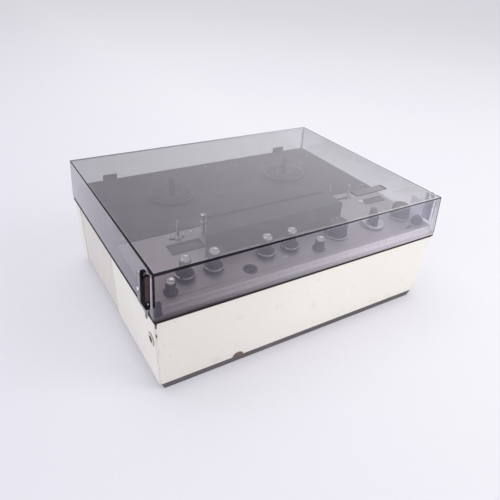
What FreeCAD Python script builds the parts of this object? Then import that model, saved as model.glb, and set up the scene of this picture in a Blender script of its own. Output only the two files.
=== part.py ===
import FreeCAD, Part
import math
import os
from FreeCAD import Placement, Rotation, Vector

# Portable reel-to-reel tape recorder in a tapered wooden case under a smoked dust cover.
# Millimetres. The floor is at z = 0, the front faces -Y and the length runs along X.

# Case and pan
CASE_LENGTH = 431.2          # outside, along the top edge
CASE_DEPTH = 330.0           # outside, along the top edge
CASE_HEIGHT = 98.7
CASE_DRAFT = 3.1             # each side leans out by this much from bottom to top
CASE_WALL = 12.0
CASE_CORNER = 1.5
FOOT_HEIGHT = 1.5
FOOT_RADIUS = 11.0
FOOT_PEG_RADIUS = 3.0
FOOT_FROM_END = 35.6         # middles, from the case's ends and front
FOOT_FROM_FRONT = 30.0
PAN_HEIGHT = 12.0
PAN_INSET = 1.5
PAN_BEVEL_X = 5.0
PAN_BEVEL_Y = 2.0
PAN_SHEET = 2.5
VENT_COUNT = 9
VENT_WIDTH = 4.0
VENT_LENGTH = 70.0
VENT_PITCH = 12.0

# Side grilles, in the frame of the case's side wall
GRILLE_LENGTH = 154.0
GRILLE_FROM_REAR = 27.0
GRILLE_SEAT = 6.0            # depth of the rebate in the wall
GRILLE_SHEET = 2.6
GRILLE_SETBACK = 0.5         # rib tops lie this far inside the smooth wall
GRILLE_END_GAP = 0.4
RIB_COUNT = 17
RIB_WIDTH = 5.6
SLOT_WIDTH = 2.4
SLOT_MARGIN = 13.0           # solid strip at both ends of the slots

# Loudspeakers behind the grilles
SPEAKER_RADIUS = 45.0
SPEAKER_DEPTH = 40.0
SPEAKER_FLANGE = 2.0
SPEAKER_LIP = 5.0
MAGNET_RADIUS = 25.0
MAGNET_HEIGHT = 18.0

# Strap studs
STRAP_STUD_FROM_FRONT = 17.5
STRAP_STUD_HEIGHT = 62.0     # above the case's lower edge
STRAP_STUD_RADIUS = 7.0
STRAP_STUD_PROUD = 5.5
STRAP_SHANK_RADIUS = 3.0

# Lid
LID_OVERHANG_X = 1.6         # lid's lower edge outside the case's upper edge
LID_OVERHANG_Y = 1.65
LID_HEIGHT = 56.3
LID_DRAFT_X = 2.2
LID_DRAFT_Y = 2.65
LID_WALL = 3.0
LID_CORNER = 2.0

# Black rim between case and lid
RIM_HEIGHT = 4.8
RIM_INSET = 0.8
RIM_BAND = 2.4
RIM_FLANGE = 1.5
RIM_FLANGE_WIDTH = 16.8
RIM_LIP_HEIGHT = 2.0
RIM_LIP_CLEARANCE = 0.4
SKIRT_WALL = 2.2
CHEEK_WIDTH = 6.0
CHEEK_DEPTH = 7.0
CHEEK_RISE = 5.0             # above the panel's front edge
CHEEK_ROUND = 2.5

# Deck and control panel
DECK_END_CLEARANCE = 3.2     # from the lid's inner faces
DECK_REAR_CLEARANCE = 5.65
PANEL_FRONT_CLEARANCE = 2.15
DECK_RISE = 18.3             # deck's top above the lid's lower edge
DECK_SHEET = 2.0
PANEL_DEPTH = 129.5          # front edge to the deck
DECK_JOINT = 0.2
PANEL_DROP = 1.3             # panel's rear edge below the deck
PANEL_TILT = 2.75            # degrees, falling to the front
PANEL_SHEET = 1.5
PANEL_LIP = 12.0
PANEL_BEND = 2.5             # outside radius of the front bend
PANEL_GROOVE_FROM_FRONT = 9.5
PANEL_GROOVE_WIDTH = 0.9
PANEL_GROOVE_DEPTH = 0.4
CHASSIS_SHEET = 2.0
CHASSIS_FROM_FRONT = 66.5
PILLAR_RADIUS = 4.0

# Running and seating clearances
RUNNING = 0.05               # radial, shaft in its bore
END_FLOAT = 0.3              # between faces that pass each other

# Hinges of the lid
HINGE_FROM_END = 57.1
HINGE_WIDTH = 27.0
HINGE_KNUCKLE = 2.2          # knuckle radius
HINGE_PIN_RADIUS = 0.9
HINGE_MIDDLE = 13.0          # width of the lid's knuckle
HINGE_SHEET = 1.5
HINGE_LEAF_DEPTH = 14.5
HINGE_STRAP_WIDTH = 22.0
HINGE_STRAP_RISE = 25.0

# Lid latches, in the frame of the lid's side wall
LATCH_FROM_FRONT = 5.65
LATCH_WIDTH = 15.0
LATCH_LOW = 12.0
LATCH_PROUD = 7.0
LATCH_GAP = 0.3
LATCH_PIVOT_HEIGHT = 51.0
LATCH_PIVOT_OUT = 3.2
LATCH_PIN_RADIUS = 1.3
LATCH_EAR_WIDTH = 4.0
LATCH_SLOT_PLAY = 0.5
HASP_SHEET = 1.5
HASP_FROM_FRONT = 16.65
HASP_LENGTH = 34.0
HASP_LOW = -12.0
HASP_HIGH = 38.0
CATCH_RADIUS = 1.8
CATCH_PROUD = 1.4
CATCH_DROP = 2.4             # stud's middle below the case's upper edge

# Turntables
REEL_FROM_LEFT = 114.0        # middles, from the deck's edges
REEL_FROM_RIGHT = 108.0
REEL_FROM_REAR = 94.0
TURNTABLE_RADIUS = 33.5
TURNTABLE_THICKNESS = 4.0
TURNTABLE_RISE = 1.7         # underside above the deck
SPINDLE_RADIUS = 4.0
SPINDLE_WING = 5.2
SPINDLE_WING_WIDTH = 1.6
SPINDLE_HEIGHT = 25.0        # above the disc
REEL_SHAFT_RADIUS = 5.0
REEL_BEARING_RADIUS = 9.0
CLUTCH_RADIUS = 22.0
CLUTCH_THICKNESS = 5.0
CLUTCH_GAP = 1.0

# Tape path
TAPE_HEIGHT = 12.2           # middle of the tape above the deck
HOOD_TOP = 26.7              # head cover's top above the deck
HOOD_WALL = 2.0
HOOD_FROM_FRONT = 62.5        # from the panel's front edge, as the next ones
TAPE_SLOT_FROM_FRONT = 97.5
TAPE_SLOT_WIDTH = 6.0
HOOD_DEPTH_LEFT = 53.0
HOOD_DEPTH_RIGHT = 43.0
HOOD_LEFT_FRONT_X = -123.0
HOOD_LEFT_REAR_X = -93.0
HOOD_RIGHT_X = 90.0
HEAD_XS = (-60.0, -14.0, 24.0)
HEAD_WIDTH = 14.0
HEAD_DEPTH = 13.0
HEAD_HEIGHT = 12.0
CAPSTAN_X = 60.0
CAPSTAN_BEFORE_SLOT = 2.0
CAPSTAN_RADIUS = 2.5
CAPSTAN_BEARING_RADIUS = 6.0
FLYWHEEL_RADIUS = 45.0
FLYWHEEL_THICKNESS = 12.0
BELT_GROOVE = 1.0
PINCH_RADIUS = 8.0
PINCH_HEIGHT = 10.0
PINCH_PIN_RADIUS = 1.5
PINCH_GAP = 5.6              # roller to capstan at rest
PINCH_PIVOT_X = 90.0
PINCH_PIVOT_FROM_FRONT = 123.5
PINCH_POST_RADIUS = 2.0
GUIDE_LEFT_X = -102.0
GUIDE_LEFT_FROM_FRONT = 111.5
GUIDE_LEFT_RADIUS = 2.5
GUIDE_LEFT_TOP = 27.7        # above the deck
GUIDE_RIGHT_X = 130.0
GUIDE_RIGHT_FROM_FRONT = 135.5
GUIDE_RIGHT_RADIUS = 1.5
GUIDE_RIGHT_TOP = 12.0
ARM_RADIUS = 32.0            # tension arm, pivot to pin
ARM_PIVOT_LEFT_X = -137.5
ARM_PIVOT_RIGHT_X = 141.0
ARM_PIVOT_LEFT_FROM_FRONT = 146.5
ARM_PIVOT_RIGHT_FROM_FRONT = 147.5
ARM_REST_LEFT = 2.0          # degrees from straight ahead, positive to the right
ARM_REST_RIGHT = 20.0
ARM_SWING_LEFT = (-15.0, 15.0)
ARM_SWING_RIGHT = (-16.0, 20.0)
ARM_PIN_RADIUS = 2.25
ARM_SLOT_PLAY = 0.35
ARM_SHEET = 2.5
ARM_TOP_LEFT = 23.7          # pin tops above the deck
ARM_TOP_RIGHT = 18.3
ARM_COLLAR_RADIUS = 5.2

# Motor and belt
MOTOR_SPACING_X = 100.0       # from the capstan
MOTOR_SPACING_Y = 46.0
MOTOR_RADIUS = 32.0
MOTOR_HEIGHT = 48.0
MOTOR_DROP = 27.0            # motor's top plate below the chassis plate
MOTOR_POST_RADIUS = 4.0
MOTOR_SHAFT_RADIUS = 2.5
PULLEY_RADIUS = 8.0
BELT_WIDTH = 5.0
BELT_THICKNESS = 1.0

# Controls: places on the panel
MIXER_FROM_LEFT = 48.5
MIXER_PITCH = 37.0
MIXER_THIRD_X = -52.5
MIXER_FROM_FRONT = 36.0
MIXER_RING_RADIUS = 12.0
MIXER_RING_TOP = 7.5
MIXER_CAP_RADIUS = 7.3
MIXER_CAP_TOP = 29.5
RING_SHAFT_RADIUS = 3.5
CAP_SHAFT_RADIUS = 2.0
POT_RADIUS = 12.0
POT_DEPTH = 14.0
EDGE_POT_DEPTH = 11.5        # bodies that stand above the rim's flange
BUSHING_RADIUS = 5.0
BUSHING_PROUD = 0.8
SHAFT_RADIUS = 3.0
BASS_FROM_LEFT = 23.5
BASS_FROM_FRONT = 19.0
TREBLE_X = 19.5
TREBLE_FROM_FRONT = 19.5
TONE_BODY_RADIUS = 5.8
TONE_SKIRT_RADIUS = 8.5
TONE_HEIGHT = 17.0
TONE_POT_RADIUS = 9.0
SELECTOR_X = 63.0
SELECTOR_FROM_FRONT = 38.0
SELECTOR_RING_RADIUS = 16.5
SELECTOR_RADIUS = 14.0
SELECTOR_HEIGHT = 22.0
SELECTOR_FLUTES = 24
LEVER_FROM_RIGHT = 81.0
LEVER_FROM_FRONT = 37.5
LEVER_DISC_RADIUS = 16.5
LEVER_DISC_TOP = 6.0
LEVER_LENGTH = 28.0
LEVER_THICKNESS = 8.0
LEVER_HEIGHT = 22.0
LEVER_TURN = -33.0           # degrees, rear end towards the right
VOLUME_FROM_RIGHT = 26.0
VOLUME_FROM_FRONT = 38.5
VOLUME_RING_RADIUS = 15.5
VOLUME_RADIUS = 12.8
VOLUME_HEIGHT = 20.0
POWER_FROM_RIGHT = 14.0
POWER_FROM_FRONT = 15.5
POWER_RADIUS = 6.0
POWER_COLLAR_RADIUS = 8.5
POWER_COLLAR_HEIGHT = 5.5
POWER_HEIGHT = 9.5
POWER_TRAVEL = 3.0
POWER_BODY_RADIUS = 8.4
SLIDE_FROM_RIGHT = 34.5
SLIDE_FROM_FRONT = 9.7
SLIDE_SLOT_LENGTH = 22.0
SLIDE_SLOT_WIDTH = 3.0
SLIDE_TAB_LENGTH = 6.0
SLIDE_TAB_PROUD = 2.5
SLIDE_PLAY = 0.2

# Meter and counter
METER_X = -134.8
METER_FROM_FRONT = 93.0
METER_LENGTH = 44.0
METER_DEPTH = 19.0
METER_BEZEL = 1.0            # width and height of the frame on the panel
METER_BODY_REACH = 14.0      # body's extra depth to the front, under the panel
METER_BODY_HEIGHT = 20.0
METER_DIAL = 8.0             # dial below the panel's top
METER_SHELL = 2.0
NEEDLE_LENGTH = 23.0
NEEDLE_REST = 24.0           # degrees to the left of straight
NEEDLE_WIDTH = 1.0
NEEDLE_PIN_RADIUS = 1.0
COUNTER_FROM_RIGHT = 27.5
COUNTER_FROM_FRONT = 92.5
COUNTER_LENGTH = 36.0
COUNTER_DEPTH = 12.0
WHEEL_RADIUS = 7.5
WHEEL_WIDTH = 8.0
WHEEL_GAP = 1.5
WHEEL_SHAFT_RADIUS = 1.5
COUNTER_SHELL = 1.5
COUNTER_BODY_HEIGHT = 16.5
RESET_FROM_RIGHT = 51.5
RESET_FROM_FRONT = 95.5
RESET_LENGTH = 7.0
RESET_DEPTH = 6.0
RESET_PROUD = 3.0
RESET_TRAVEL = 2.0
RESET_PLAY = 0.1
PANE_THICKNESS = 1.2

# Sockets
SOCKET_FLANGE_RADIUS = 9.0
SOCKET_FLANGE = 0.8
SOCKET_BODY_RADIUS = 7.8
SOCKET_BORE_RADIUS = 6.7
SOCKET_BORE_DEPTH = 7.0
SOCKET_LENGTH = 12.0
MIC_X = -85.0
MIC_FROM_FRONT = 18.5
BACK_X = 85.0                # middle of the rear connector plate
BACK_HEIGHT = 40.0           # its middle above the case's lower edge
BACK_LENGTH = 150.0
BACK_WIDTH = 40.0
BACK_SHEET = 2.0
BACK_MARGIN = 6.0
BACK_SOCKET_PITCH = 24.0
BACK_SOCKET_COUNT = 4
INLET_LENGTH = 24.0
INLET_WIDTH = 14.0
INLET_DEPTH = 16.0
INLET_WALL = 2.0
INLET_PIN_RADIUS = 1.2

# Electrical parts inside
CORE_LENGTH = 60.0
CORE_DEPTH = 50.0
CORE_HEIGHT = 50.0
CORE_FROM_LEFT = 105.6        # middle, from the case's end and rear
CORE_FROM_REAR = 62.0
COIL_BULGE = 8.0
BOARD_END_MARGIN = 45.6       # from the case's ends and front
BOARD_FRONT_MARGIN = 19.0
BOARD_DEPTH = 82.0
BOARD_SHEET = 1.6
BOARD_STANDOFF = 18.0
SCREW_RADIUS = 2.5
SCREW_HEAD = 0.9
SCREW_MARGIN = 10.0
SCREW_LENGTH = 8.0
RIVET_RADIUS = 1.0
PART_RADIUS = 6.5             # round components on the board
PART_HEIGHT = 24.0
BLOCK_LENGTH = 14.0
BLOCK_DEPTH = 12.0
BLOCK_HEIGHT = 9.0
PART_COUNT = 6
STANDOFF_RADIUS = 4.0

# Levels and limits that follow from the sizes above
Z_PAN = FOOT_HEIGHT
Z_CASE = Z_PAN + PAN_HEIGHT
Z_RIM = Z_CASE + CASE_HEIGHT
Z_CHASSIS = Z_RIM + RIM_FLANGE
Z_PLATE = Z_CHASSIS + CHASSIS_SHEET
Z_LID = Z_RIM + RIM_HEIGHT
Z_DECK = Z_LID + DECK_RISE
Z_PANEL = Z_DECK - PANEL_DROP
Z_DISC = Z_DECK + TURNTABLE_RISE
Z_TAPE = Z_DECK + TAPE_HEIGHT
Z_HOOD = Z_DECK + HOOD_TOP
Z_FLOOR = Z_PAN + PAN_SHEET
LID_LENGTH = CASE_LENGTH + 2 * LID_OVERHANG_X
LID_DEPTH = CASE_DEPTH + 2 * LID_OVERHANG_Y
DECK_X = LID_LENGTH / 2 - LID_WALL - DECK_END_CLEARANCE
DECK_REAR = LID_DEPTH / 2 - LID_WALL - DECK_REAR_CLEARANCE
PANEL_FRONT = -(LID_DEPTH / 2 - LID_WALL - PANEL_FRONT_CLEARANCE)
DECK_FRONT = PANEL_FRONT + PANEL_DEPTH
RIM_X = CASE_LENGTH / 2 - RIM_INSET
RIM_Y = CASE_DEPTH / 2 - RIM_INSET
SKIRT_X = DECK_X - DECK_JOINT
SKIRT_FRONT = PANEL_FRONT + PANEL_BEND + DECK_JOINT + PANEL_LIP * math.sin(math.radians(PANEL_TILT))
CASE_LEAN = math.degrees(math.atan2(CASE_DRAFT, CASE_HEIGHT))
LID_LEAN_X = math.degrees(math.atan2(LID_DRAFT_X, LID_HEIGHT))
LID_LEAN_Y = math.degrees(math.atan2(LID_DRAFT_Y, LID_HEIGHT))
SIDE_HEIGHT = math.hypot(CASE_HEIGHT, CASE_DRAFT)
HINGE_Z = Z_RIM + RIM_HEIGHT / 2
HINGE_X = CASE_LENGTH / 2 - HINGE_FROM_END
HINGE_Y = LID_DEPTH / 2 - HINGE_KNUCKLE
REEL_XS = (REEL_FROM_LEFT - DECK_X, DECK_X - REEL_FROM_RIGHT)
REEL_Y = DECK_REAR - REEL_FROM_REAR
FOOT_X = CASE_LENGTH / 2 - FOOT_FROM_END
FOOT_Y = CASE_DEPTH / 2 - FOOT_FROM_FRONT
STRAP_STUD_Y = STRAP_STUD_FROM_FRONT - CASE_DEPTH / 2
GRILLE_REAR = CASE_DEPTH / 2 - GRILLE_FROM_REAR
GRILLE_FRONT = GRILLE_REAR - GRILLE_LENGTH
SPEAKER_Y = (GRILLE_FRONT + GRILLE_REAR) / 2
SPEAKER_Z = SIDE_HEIGHT / 2
Z_FLYWHEEL = Z_CHASSIS - CHASSIS_SHEET - FLYWHEEL_THICKNESS - 10.0
Z_BELT = Z_FLYWHEEL + FLYWHEEL_THICKNESS / 2
CAPSTAN_Y = PANEL_FRONT + TAPE_SLOT_FROM_FRONT - CAPSTAN_BEFORE_SLOT
PINCH_Y = CAPSTAN_Y + CAPSTAN_RADIUS + PINCH_GAP + PINCH_RADIUS
BELOW_PANEL = -PANEL_SHEET
LATCH_FRONT = LATCH_FROM_FRONT - LID_DEPTH / 2
LATCH_REAR = LATCH_FRONT + LATCH_WIDTH
HASP_FRONT = HASP_FROM_FRONT - LID_DEPTH / 2
HASP_REAR = HASP_FRONT + HASP_LENGTH
PANEL_GROOVE_Y = PANEL_FRONT + PANEL_GROOVE_FROM_FRONT
CHASSIS_FRONT = PANEL_FRONT + CHASSIS_FROM_FRONT
HOOD_FRONT = PANEL_FRONT + HOOD_FROM_FRONT
HOOD_REAR_LEFT = HOOD_FRONT + HOOD_DEPTH_LEFT
HOOD_REAR_RIGHT = HOOD_FRONT + HOOD_DEPTH_RIGHT
TAPE_SLOT_FRONT = PANEL_FRONT + TAPE_SLOT_FROM_FRONT
TAPE_SLOT_REAR = TAPE_SLOT_FRONT + TAPE_SLOT_WIDTH
PINCH_PIVOT_Y = PANEL_FRONT + PINCH_PIVOT_FROM_FRONT
GUIDE_LEFT = (GUIDE_LEFT_X, PANEL_FRONT + GUIDE_LEFT_FROM_FRONT)
GUIDE_RIGHT = (GUIDE_RIGHT_X, PANEL_FRONT + GUIDE_RIGHT_FROM_FRONT)
ARM_PIVOT_LEFT = (ARM_PIVOT_LEFT_X, PANEL_FRONT + ARM_PIVOT_LEFT_FROM_FRONT)
ARM_PIVOT_RIGHT = (ARM_PIVOT_RIGHT_X, PANEL_FRONT + ARM_PIVOT_RIGHT_FROM_FRONT)
MOTOR_X = CAPSTAN_X - MOTOR_SPACING_X
MOTOR_Y = CAPSTAN_Y + MOTOR_SPACING_Y
MIXER_XS = (MIXER_FROM_LEFT - DECK_X, MIXER_FROM_LEFT + MIXER_PITCH - DECK_X, MIXER_THIRD_X,
            MIXER_THIRD_X + MIXER_PITCH)
MIXER_Y = PANEL_FRONT + MIXER_FROM_FRONT
BASS_PLACE = (BASS_FROM_LEFT - DECK_X, PANEL_FRONT + BASS_FROM_FRONT)
TREBLE_PLACE = (TREBLE_X, PANEL_FRONT + TREBLE_FROM_FRONT)
SELECTOR_PLACE = (SELECTOR_X, PANEL_FRONT + SELECTOR_FROM_FRONT)
LEVER_PLACE = (DECK_X - LEVER_FROM_RIGHT, PANEL_FRONT + LEVER_FROM_FRONT)
VOLUME_PLACE = (DECK_X - VOLUME_FROM_RIGHT, PANEL_FRONT + VOLUME_FROM_FRONT)
POWER_PLACE = (DECK_X - POWER_FROM_RIGHT, PANEL_FRONT + POWER_FROM_FRONT)
SLIDE_PLACE = (DECK_X - SLIDE_FROM_RIGHT, PANEL_FRONT + SLIDE_FROM_FRONT)
METER_Y = PANEL_FRONT + METER_FROM_FRONT
COUNTER_X = DECK_X - COUNTER_FROM_RIGHT
COUNTER_Y = PANEL_FRONT + COUNTER_FROM_FRONT
RESET_X = DECK_X - RESET_FROM_RIGHT
RESET_Y = PANEL_FRONT + RESET_FROM_FRONT
MIC_PLACE = (MIC_X, PANEL_FRONT + MIC_FROM_FRONT)
CORE_X = CORE_FROM_LEFT - CASE_LENGTH / 2
CORE_Y = CASE_DEPTH / 2 - CORE_FROM_REAR
BOARD_LENGTH = CASE_LENGTH - 2 * BOARD_END_MARGIN
BOARD_FRONT = BOARD_FRONT_MARGIN - CASE_DEPTH / 2
BOARD_REAR = BOARD_FRONT + BOARD_DEPTH

PANEL_FRAME = Placement(Vector(0, DECK_FRONT, Z_PANEL), Rotation(Vector(1, 0, 0), PANEL_TILT))
CASE_SIDE_FRAME = Placement(Vector(CASE_LENGTH / 2 - CASE_DRAFT, 0, Z_CASE),
                            Rotation(Vector(0, 1, 0), CASE_LEAN))
CASE_BACK_FRAME = Placement(Vector(0, CASE_DEPTH / 2 - CASE_DRAFT, Z_CASE),
                            Rotation(Vector(1, 0, 0), -CASE_LEAN))
LID_SIDE_FRAME = Placement(Vector(LID_LENGTH / 2, 0, Z_LID), Rotation(Vector(0, 1, 0), -LID_LEAN_X))
LID_BACK_FRAME = Placement(Vector(0, LID_DEPTH / 2, Z_LID), Rotation(Vector(1, 0, 0), LID_LEAN_Y))


def box(x0, x1, y0, y1, z0, z1):
    return Part.makeBox(x1 - x0, y1 - y0, z1 - z0, Vector(x0, y0, z0))


def rod(radius, z0, z1, x=0.0, y=0.0):
    return Part.makeCylinder(radius, z1 - z0, Vector(x, y, z0))


def rod_along_x(radius, x0, x1, y, z):
    return Part.makeCylinder(radius, x1 - x0, Vector(x0, y, z), Vector(1, 0, 0))


def rod_along_y(radius, y0, y1, x, z):
    return Part.makeCylinder(radius, y1 - y0, Vector(x, y0, z), Vector(0, 1, 0))


def turned(points, x=0.0, y=0.0):
    """Solid of revolution about a vertical axis; points are (radius, height)."""
    wire = Part.makePolygon([Vector(r, 0, z) for r, z in points + points[:1]])
    solid = Part.Face(wire).revolve(Vector(), Vector(0, 0, 1), 360)
    solid.translate(Vector(x, y, 0))
    return solid


def prism(points, z0, z1):
    """Upright prism over a plan given by its corners."""
    wire = Part.makePolygon([Vector(x, y, z0) for x, y in points + points[:1]])
    return Part.Face(wire).extrude(Vector(0, 0, z1 - z0))


def rounded_rectangle(length, depth, z, radius):
    """Wire of a rectangle about the Z axis with round corners."""
    a, b, r = length / 2, depth / 2, radius
    edges = []
    for turn, (reach, side) in enumerate(((a, b), (b, a), (a, b), (b, a))):
        angle = math.radians(90 * turn)
        cos, sin = math.cos(angle), math.sin(angle)

        def at(u, v):
            return Vector(u * cos - v * sin, u * sin + v * cos, z)

        start, end = at(reach, r - side), at(reach, side - r)
        middle = at(reach - r + r * math.sqrt(0.5), side - r + r * math.sqrt(0.5))
        edges.append(Part.LineSegment(start, end).toShape())
        edges.append(Part.Arc(end, middle, at(reach - r, side)).toShape())
    return Part.Wire(edges)


def tapered(low, high, z0, z1, radius):
    """Tapered block between a lower and an upper rectangle, each (length, depth)."""
    wires = [rounded_rectangle(low[0], low[1], z0, radius), rounded_rectangle(high[0], high[1], z1, radius)]
    return Part.makeLoft(wires, True, True)


def band(outer, inner, z0, z1, radius=CASE_CORNER):
    """Upright rectangular ring; outer and inner are (length, depth)."""
    ring = tapered(outer, outer, z0, z1, radius)
    return ring.cut(tapered(inner, inner, z0 - 1, z1 + 1, radius / 2))


def placed(shape, frame):
    shape = shape.copy()
    shape.Placement = frame.multiply(shape.Placement)
    return shape


def mirrored(shape):
    return shape.mirror(Vector(), Vector(1, 0, 0))


def both_sides(shape):
    return [mirrored(shape), shape]


def joined(shapes):
    return shapes[0].multiFuse(shapes[1:]).removeSplitter() if len(shapes) > 1 else shapes[0]


def turned_about(shape, degrees, x, y):
    shape.rotate(Vector(x, y, 0), Vector(0, 0, 1), degrees)
    return shape


def save(node, *shapes):
    solids = [solid for shape in shapes for solid in shape.Solids]
    shape = solids[0] if len(solids) == 1 else Part.makeCompound(solids)
    shape.exportStep(f"parts/{node}.step")
    print(node, len(solids), "solid" if len(solids) == 1 else "solids", round(shape.Volume / 1000, 2), "cm3")


def along(y):
    """Distance along the sloping panel of a place at depth y."""
    return (y - DECK_FRONT) / math.cos(math.radians(PANEL_TILT))


def on_panel(shape, place=(0.0, DECK_FRONT)):
    """Move a shape drawn about the panel's own origin to its place on the sloping panel."""
    shape = shape.copy()
    shape.translate(Vector(place[0], along(place[1]), 0))
    return placed(shape, PANEL_FRAME)


def panel_point(place, height):
    return PANEL_FRAME.multVec(Vector(place[0], along(place[1]), height))


def above_panel_plane(offset):
    """Everything above a plane parallel to the sloping panel."""
    return placed(box(-2 * DECK_X, 2 * DECK_X, 2 * PANEL_FRONT, 2 * DECK_REAR, offset, CASE_HEIGHT), PANEL_FRAME)


def below_panel_plane(offset):
    return placed(box(-2 * DECK_X, 2 * DECK_X, 2 * PANEL_FRONT, 2 * DECK_REAR, -CASE_HEIGHT, offset),
                  PANEL_FRAME)


def case_shell():
    """Wooden frame, open above and below, rebated for the grilles and the rear connectors."""
    low = (CASE_LENGTH - 2 * CASE_DRAFT, CASE_DEPTH - 2 * CASE_DRAFT)
    high = (CASE_LENGTH, CASE_DEPTH)
    shell = tapered(low, high, Z_CASE, Z_RIM, CASE_CORNER)
    inner_low = tuple(size - 2 * CASE_WALL for size in low)
    inner_high = tuple(size - 2 * CASE_WALL for size in high)
    shell = shell.cut(tapered(inner_low, inner_high, Z_CASE, Z_RIM, CASE_CORNER))
    rebate = box(-GRILLE_SEAT, CASE_WALL, GRILLE_FRONT, GRILLE_REAR, -CASE_WALL, SIDE_HEIGHT + CASE_WALL)
    sound = rod_along_x(SPEAKER_RADIUS - SPEAKER_LIP, -2 * CASE_WALL, CASE_WALL, SPEAKER_Y, SPEAKER_Z)
    stud = rod_along_x(STRAP_SHANK_RADIUS, -2 * CASE_WALL, CASE_WALL, STRAP_STUD_Y, STRAP_STUD_HEIGHT)
    catch = rod_along_x(CATCH_RADIUS, -CASE_WALL / 2, CASE_WALL, latch_middle() + 20.0, SIDE_HEIGHT - CATCH_DROP)
    for cutter in (rebate, sound, stud, catch):
        for side in both_sides(placed(cutter, CASE_SIDE_FRAME)):
            shell = shell.cut(side)
    x0, x1 = BACK_X - BACK_LENGTH / 2, BACK_X + BACK_LENGTH / 2
    z0, z1 = BACK_HEIGHT - BACK_WIDTH / 2, BACK_HEIGHT + BACK_WIDTH / 2
    seat = box(x0, x1, -BACK_SHEET, CASE_WALL, z0, z1)
    way = box(x0 + BACK_MARGIN, x1 - BACK_MARGIN, -2 * CASE_WALL, CASE_WALL, z0 + BACK_MARGIN, z1 - BACK_MARGIN)
    return shell.cut(placed(seat, CASE_BACK_FRAME)).cut(placed(way, CASE_BACK_FRAME))


def grille():
    """Fluted panel: upright round-topped ribs on a sheet, with a sound slot between each pair."""
    pitch = (GRILLE_REAR - GRILLE_FRONT) / RIB_COUNT
    root = -GRILLE_SEAT + GRILLE_SHEET
    crest = -GRILLE_SETBACK
    edges = []
    pen = Vector(-GRILLE_SEAT, GRILLE_FRONT, 0)

    def line_to(point):
        edges.append(Part.LineSegment(edges_end[0], point).toShape())
        edges_end[0] = point

    edges_end = [pen]
    line_to(Vector(root, GRILLE_FRONT, 0))
    for rib in range(RIB_COUNT):
        middle = GRILLE_FRONT + (rib + 0.5) * pitch
        shoulder = crest - RIB_WIDTH / 4
        line_to(Vector(root, middle - RIB_WIDTH / 2, 0))
        line_to(Vector(shoulder, middle - RIB_WIDTH / 2, 0))
        end = Vector(shoulder, middle + RIB_WIDTH / 2, 0)
        edges.append(Part.Arc(edges_end[0], Vector(crest, middle, 0), end).toShape())
        edges_end[0] = end
        line_to(Vector(root, middle + RIB_WIDTH / 2, 0))
    line_to(Vector(root, GRILLE_REAR, 0))
    line_to(Vector(-GRILLE_SEAT, GRILLE_REAR, 0))
    line_to(pen)
    panel = Part.Face(Part.Wire(edges)).extrude(Vector(0, 0, SIDE_HEIGHT - 2 * GRILLE_END_GAP))
    panel.translate(Vector(0, 0, GRILLE_END_GAP))
    slots = [box(-GRILLE_SEAT - 1, 0, GRILLE_FRONT + rib * pitch - SLOT_WIDTH / 2,
                 GRILLE_FRONT + rib * pitch + SLOT_WIDTH / 2, SLOT_MARGIN, SIDE_HEIGHT - SLOT_MARGIN)
             for rib in range(1, RIB_COUNT)]
    return placed(panel.cut(Part.makeCompound(slots)), CASE_SIDE_FRAME)


def loudspeaker():
    """Pressed basket with its magnet, and the paper cone in it."""
    r, lip, depth = SPEAKER_RADIUS, SPEAKER_LIP, SPEAKER_DEPTH
    throat = MAGNET_RADIUS - 10
    pole = depth - MAGNET_HEIGHT
    basket = turned([(r, 0), (r, SPEAKER_FLANGE), (r - lip, SPEAKER_FLANGE), (MAGNET_RADIUS, pole),
                     (MAGNET_RADIUS, depth), (0, depth), (0, pole), (throat, pole),
                     (r - lip - SPEAKER_FLANGE, SPEAKER_FLANGE), (r - lip - SPEAKER_FLANGE, 0)])
    cone = turned([(r - lip - SPEAKER_FLANGE, SPEAKER_FLANGE), (throat, pole), (0, pole), (0, pole - 4),
                   (throat - 3, pole - 3), (r - lip - 2 * SPEAKER_FLANGE, SPEAKER_FLANGE)])
    out = []
    for shape in (basket, cone):
        shape.rotate(Vector(), Vector(0, 1, 0), -90)
        shape.translate(Vector(-CASE_WALL, SPEAKER_Y, SPEAKER_Z))
        out.append(placed(shape, CASE_SIDE_FRAME))
    return out


def bottom_pan():
    """Dark tray under the case, drawn in towards the floor, with a field of vent slots."""
    top = (CASE_LENGTH - 2 * CASE_DRAFT - 2 * PAN_INSET, CASE_DEPTH - 2 * CASE_DRAFT - 2 * PAN_INSET)
    low = (top[0] - 2 * PAN_BEVEL_X, top[1] - 2 * PAN_BEVEL_Y)
    inner_top = tuple(size - 2 * PAN_SHEET for size in top)
    inner_low = tuple(size - 2 * PAN_SHEET for size in low)
    pan = tapered(low, top, Z_PAN, Z_CASE, CASE_CORNER)
    pan = pan.cut(tapered(inner_low, inner_top, Z_FLOOR, Z_CASE, CASE_CORNER))
    first = MOTOR_X - VENT_PITCH * (VENT_COUNT - 1) / 2
    cutters = [box(first + i * VENT_PITCH - VENT_WIDTH / 2, first + i * VENT_PITCH + VENT_WIDTH / 2,
                   MOTOR_Y - VENT_LENGTH / 2, MOTOR_Y + VENT_LENGTH / 2, 0, Z_CASE) for i in range(VENT_COUNT)]
    cutters += [rod(FOOT_PEG_RADIUS, 0, Z_CASE, x, y) for x in (-FOOT_X, FOOT_X) for y in (-FOOT_Y, FOOT_Y)]
    return pan.cut(Part.makeCompound(cutters))


def rubber_feet():
    profile = [(0, 0), (FOOT_RADIUS - 1.5, 0), (FOOT_RADIUS, FOOT_HEIGHT), (FOOT_PEG_RADIUS, FOOT_HEIGHT),
               (FOOT_PEG_RADIUS, Z_FLOOR), (0, Z_FLOOR)]
    return [turned(profile, x, y) for x in (-FOOT_X, FOOT_X) for y in (-FOOT_Y, FOOT_Y)]


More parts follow.
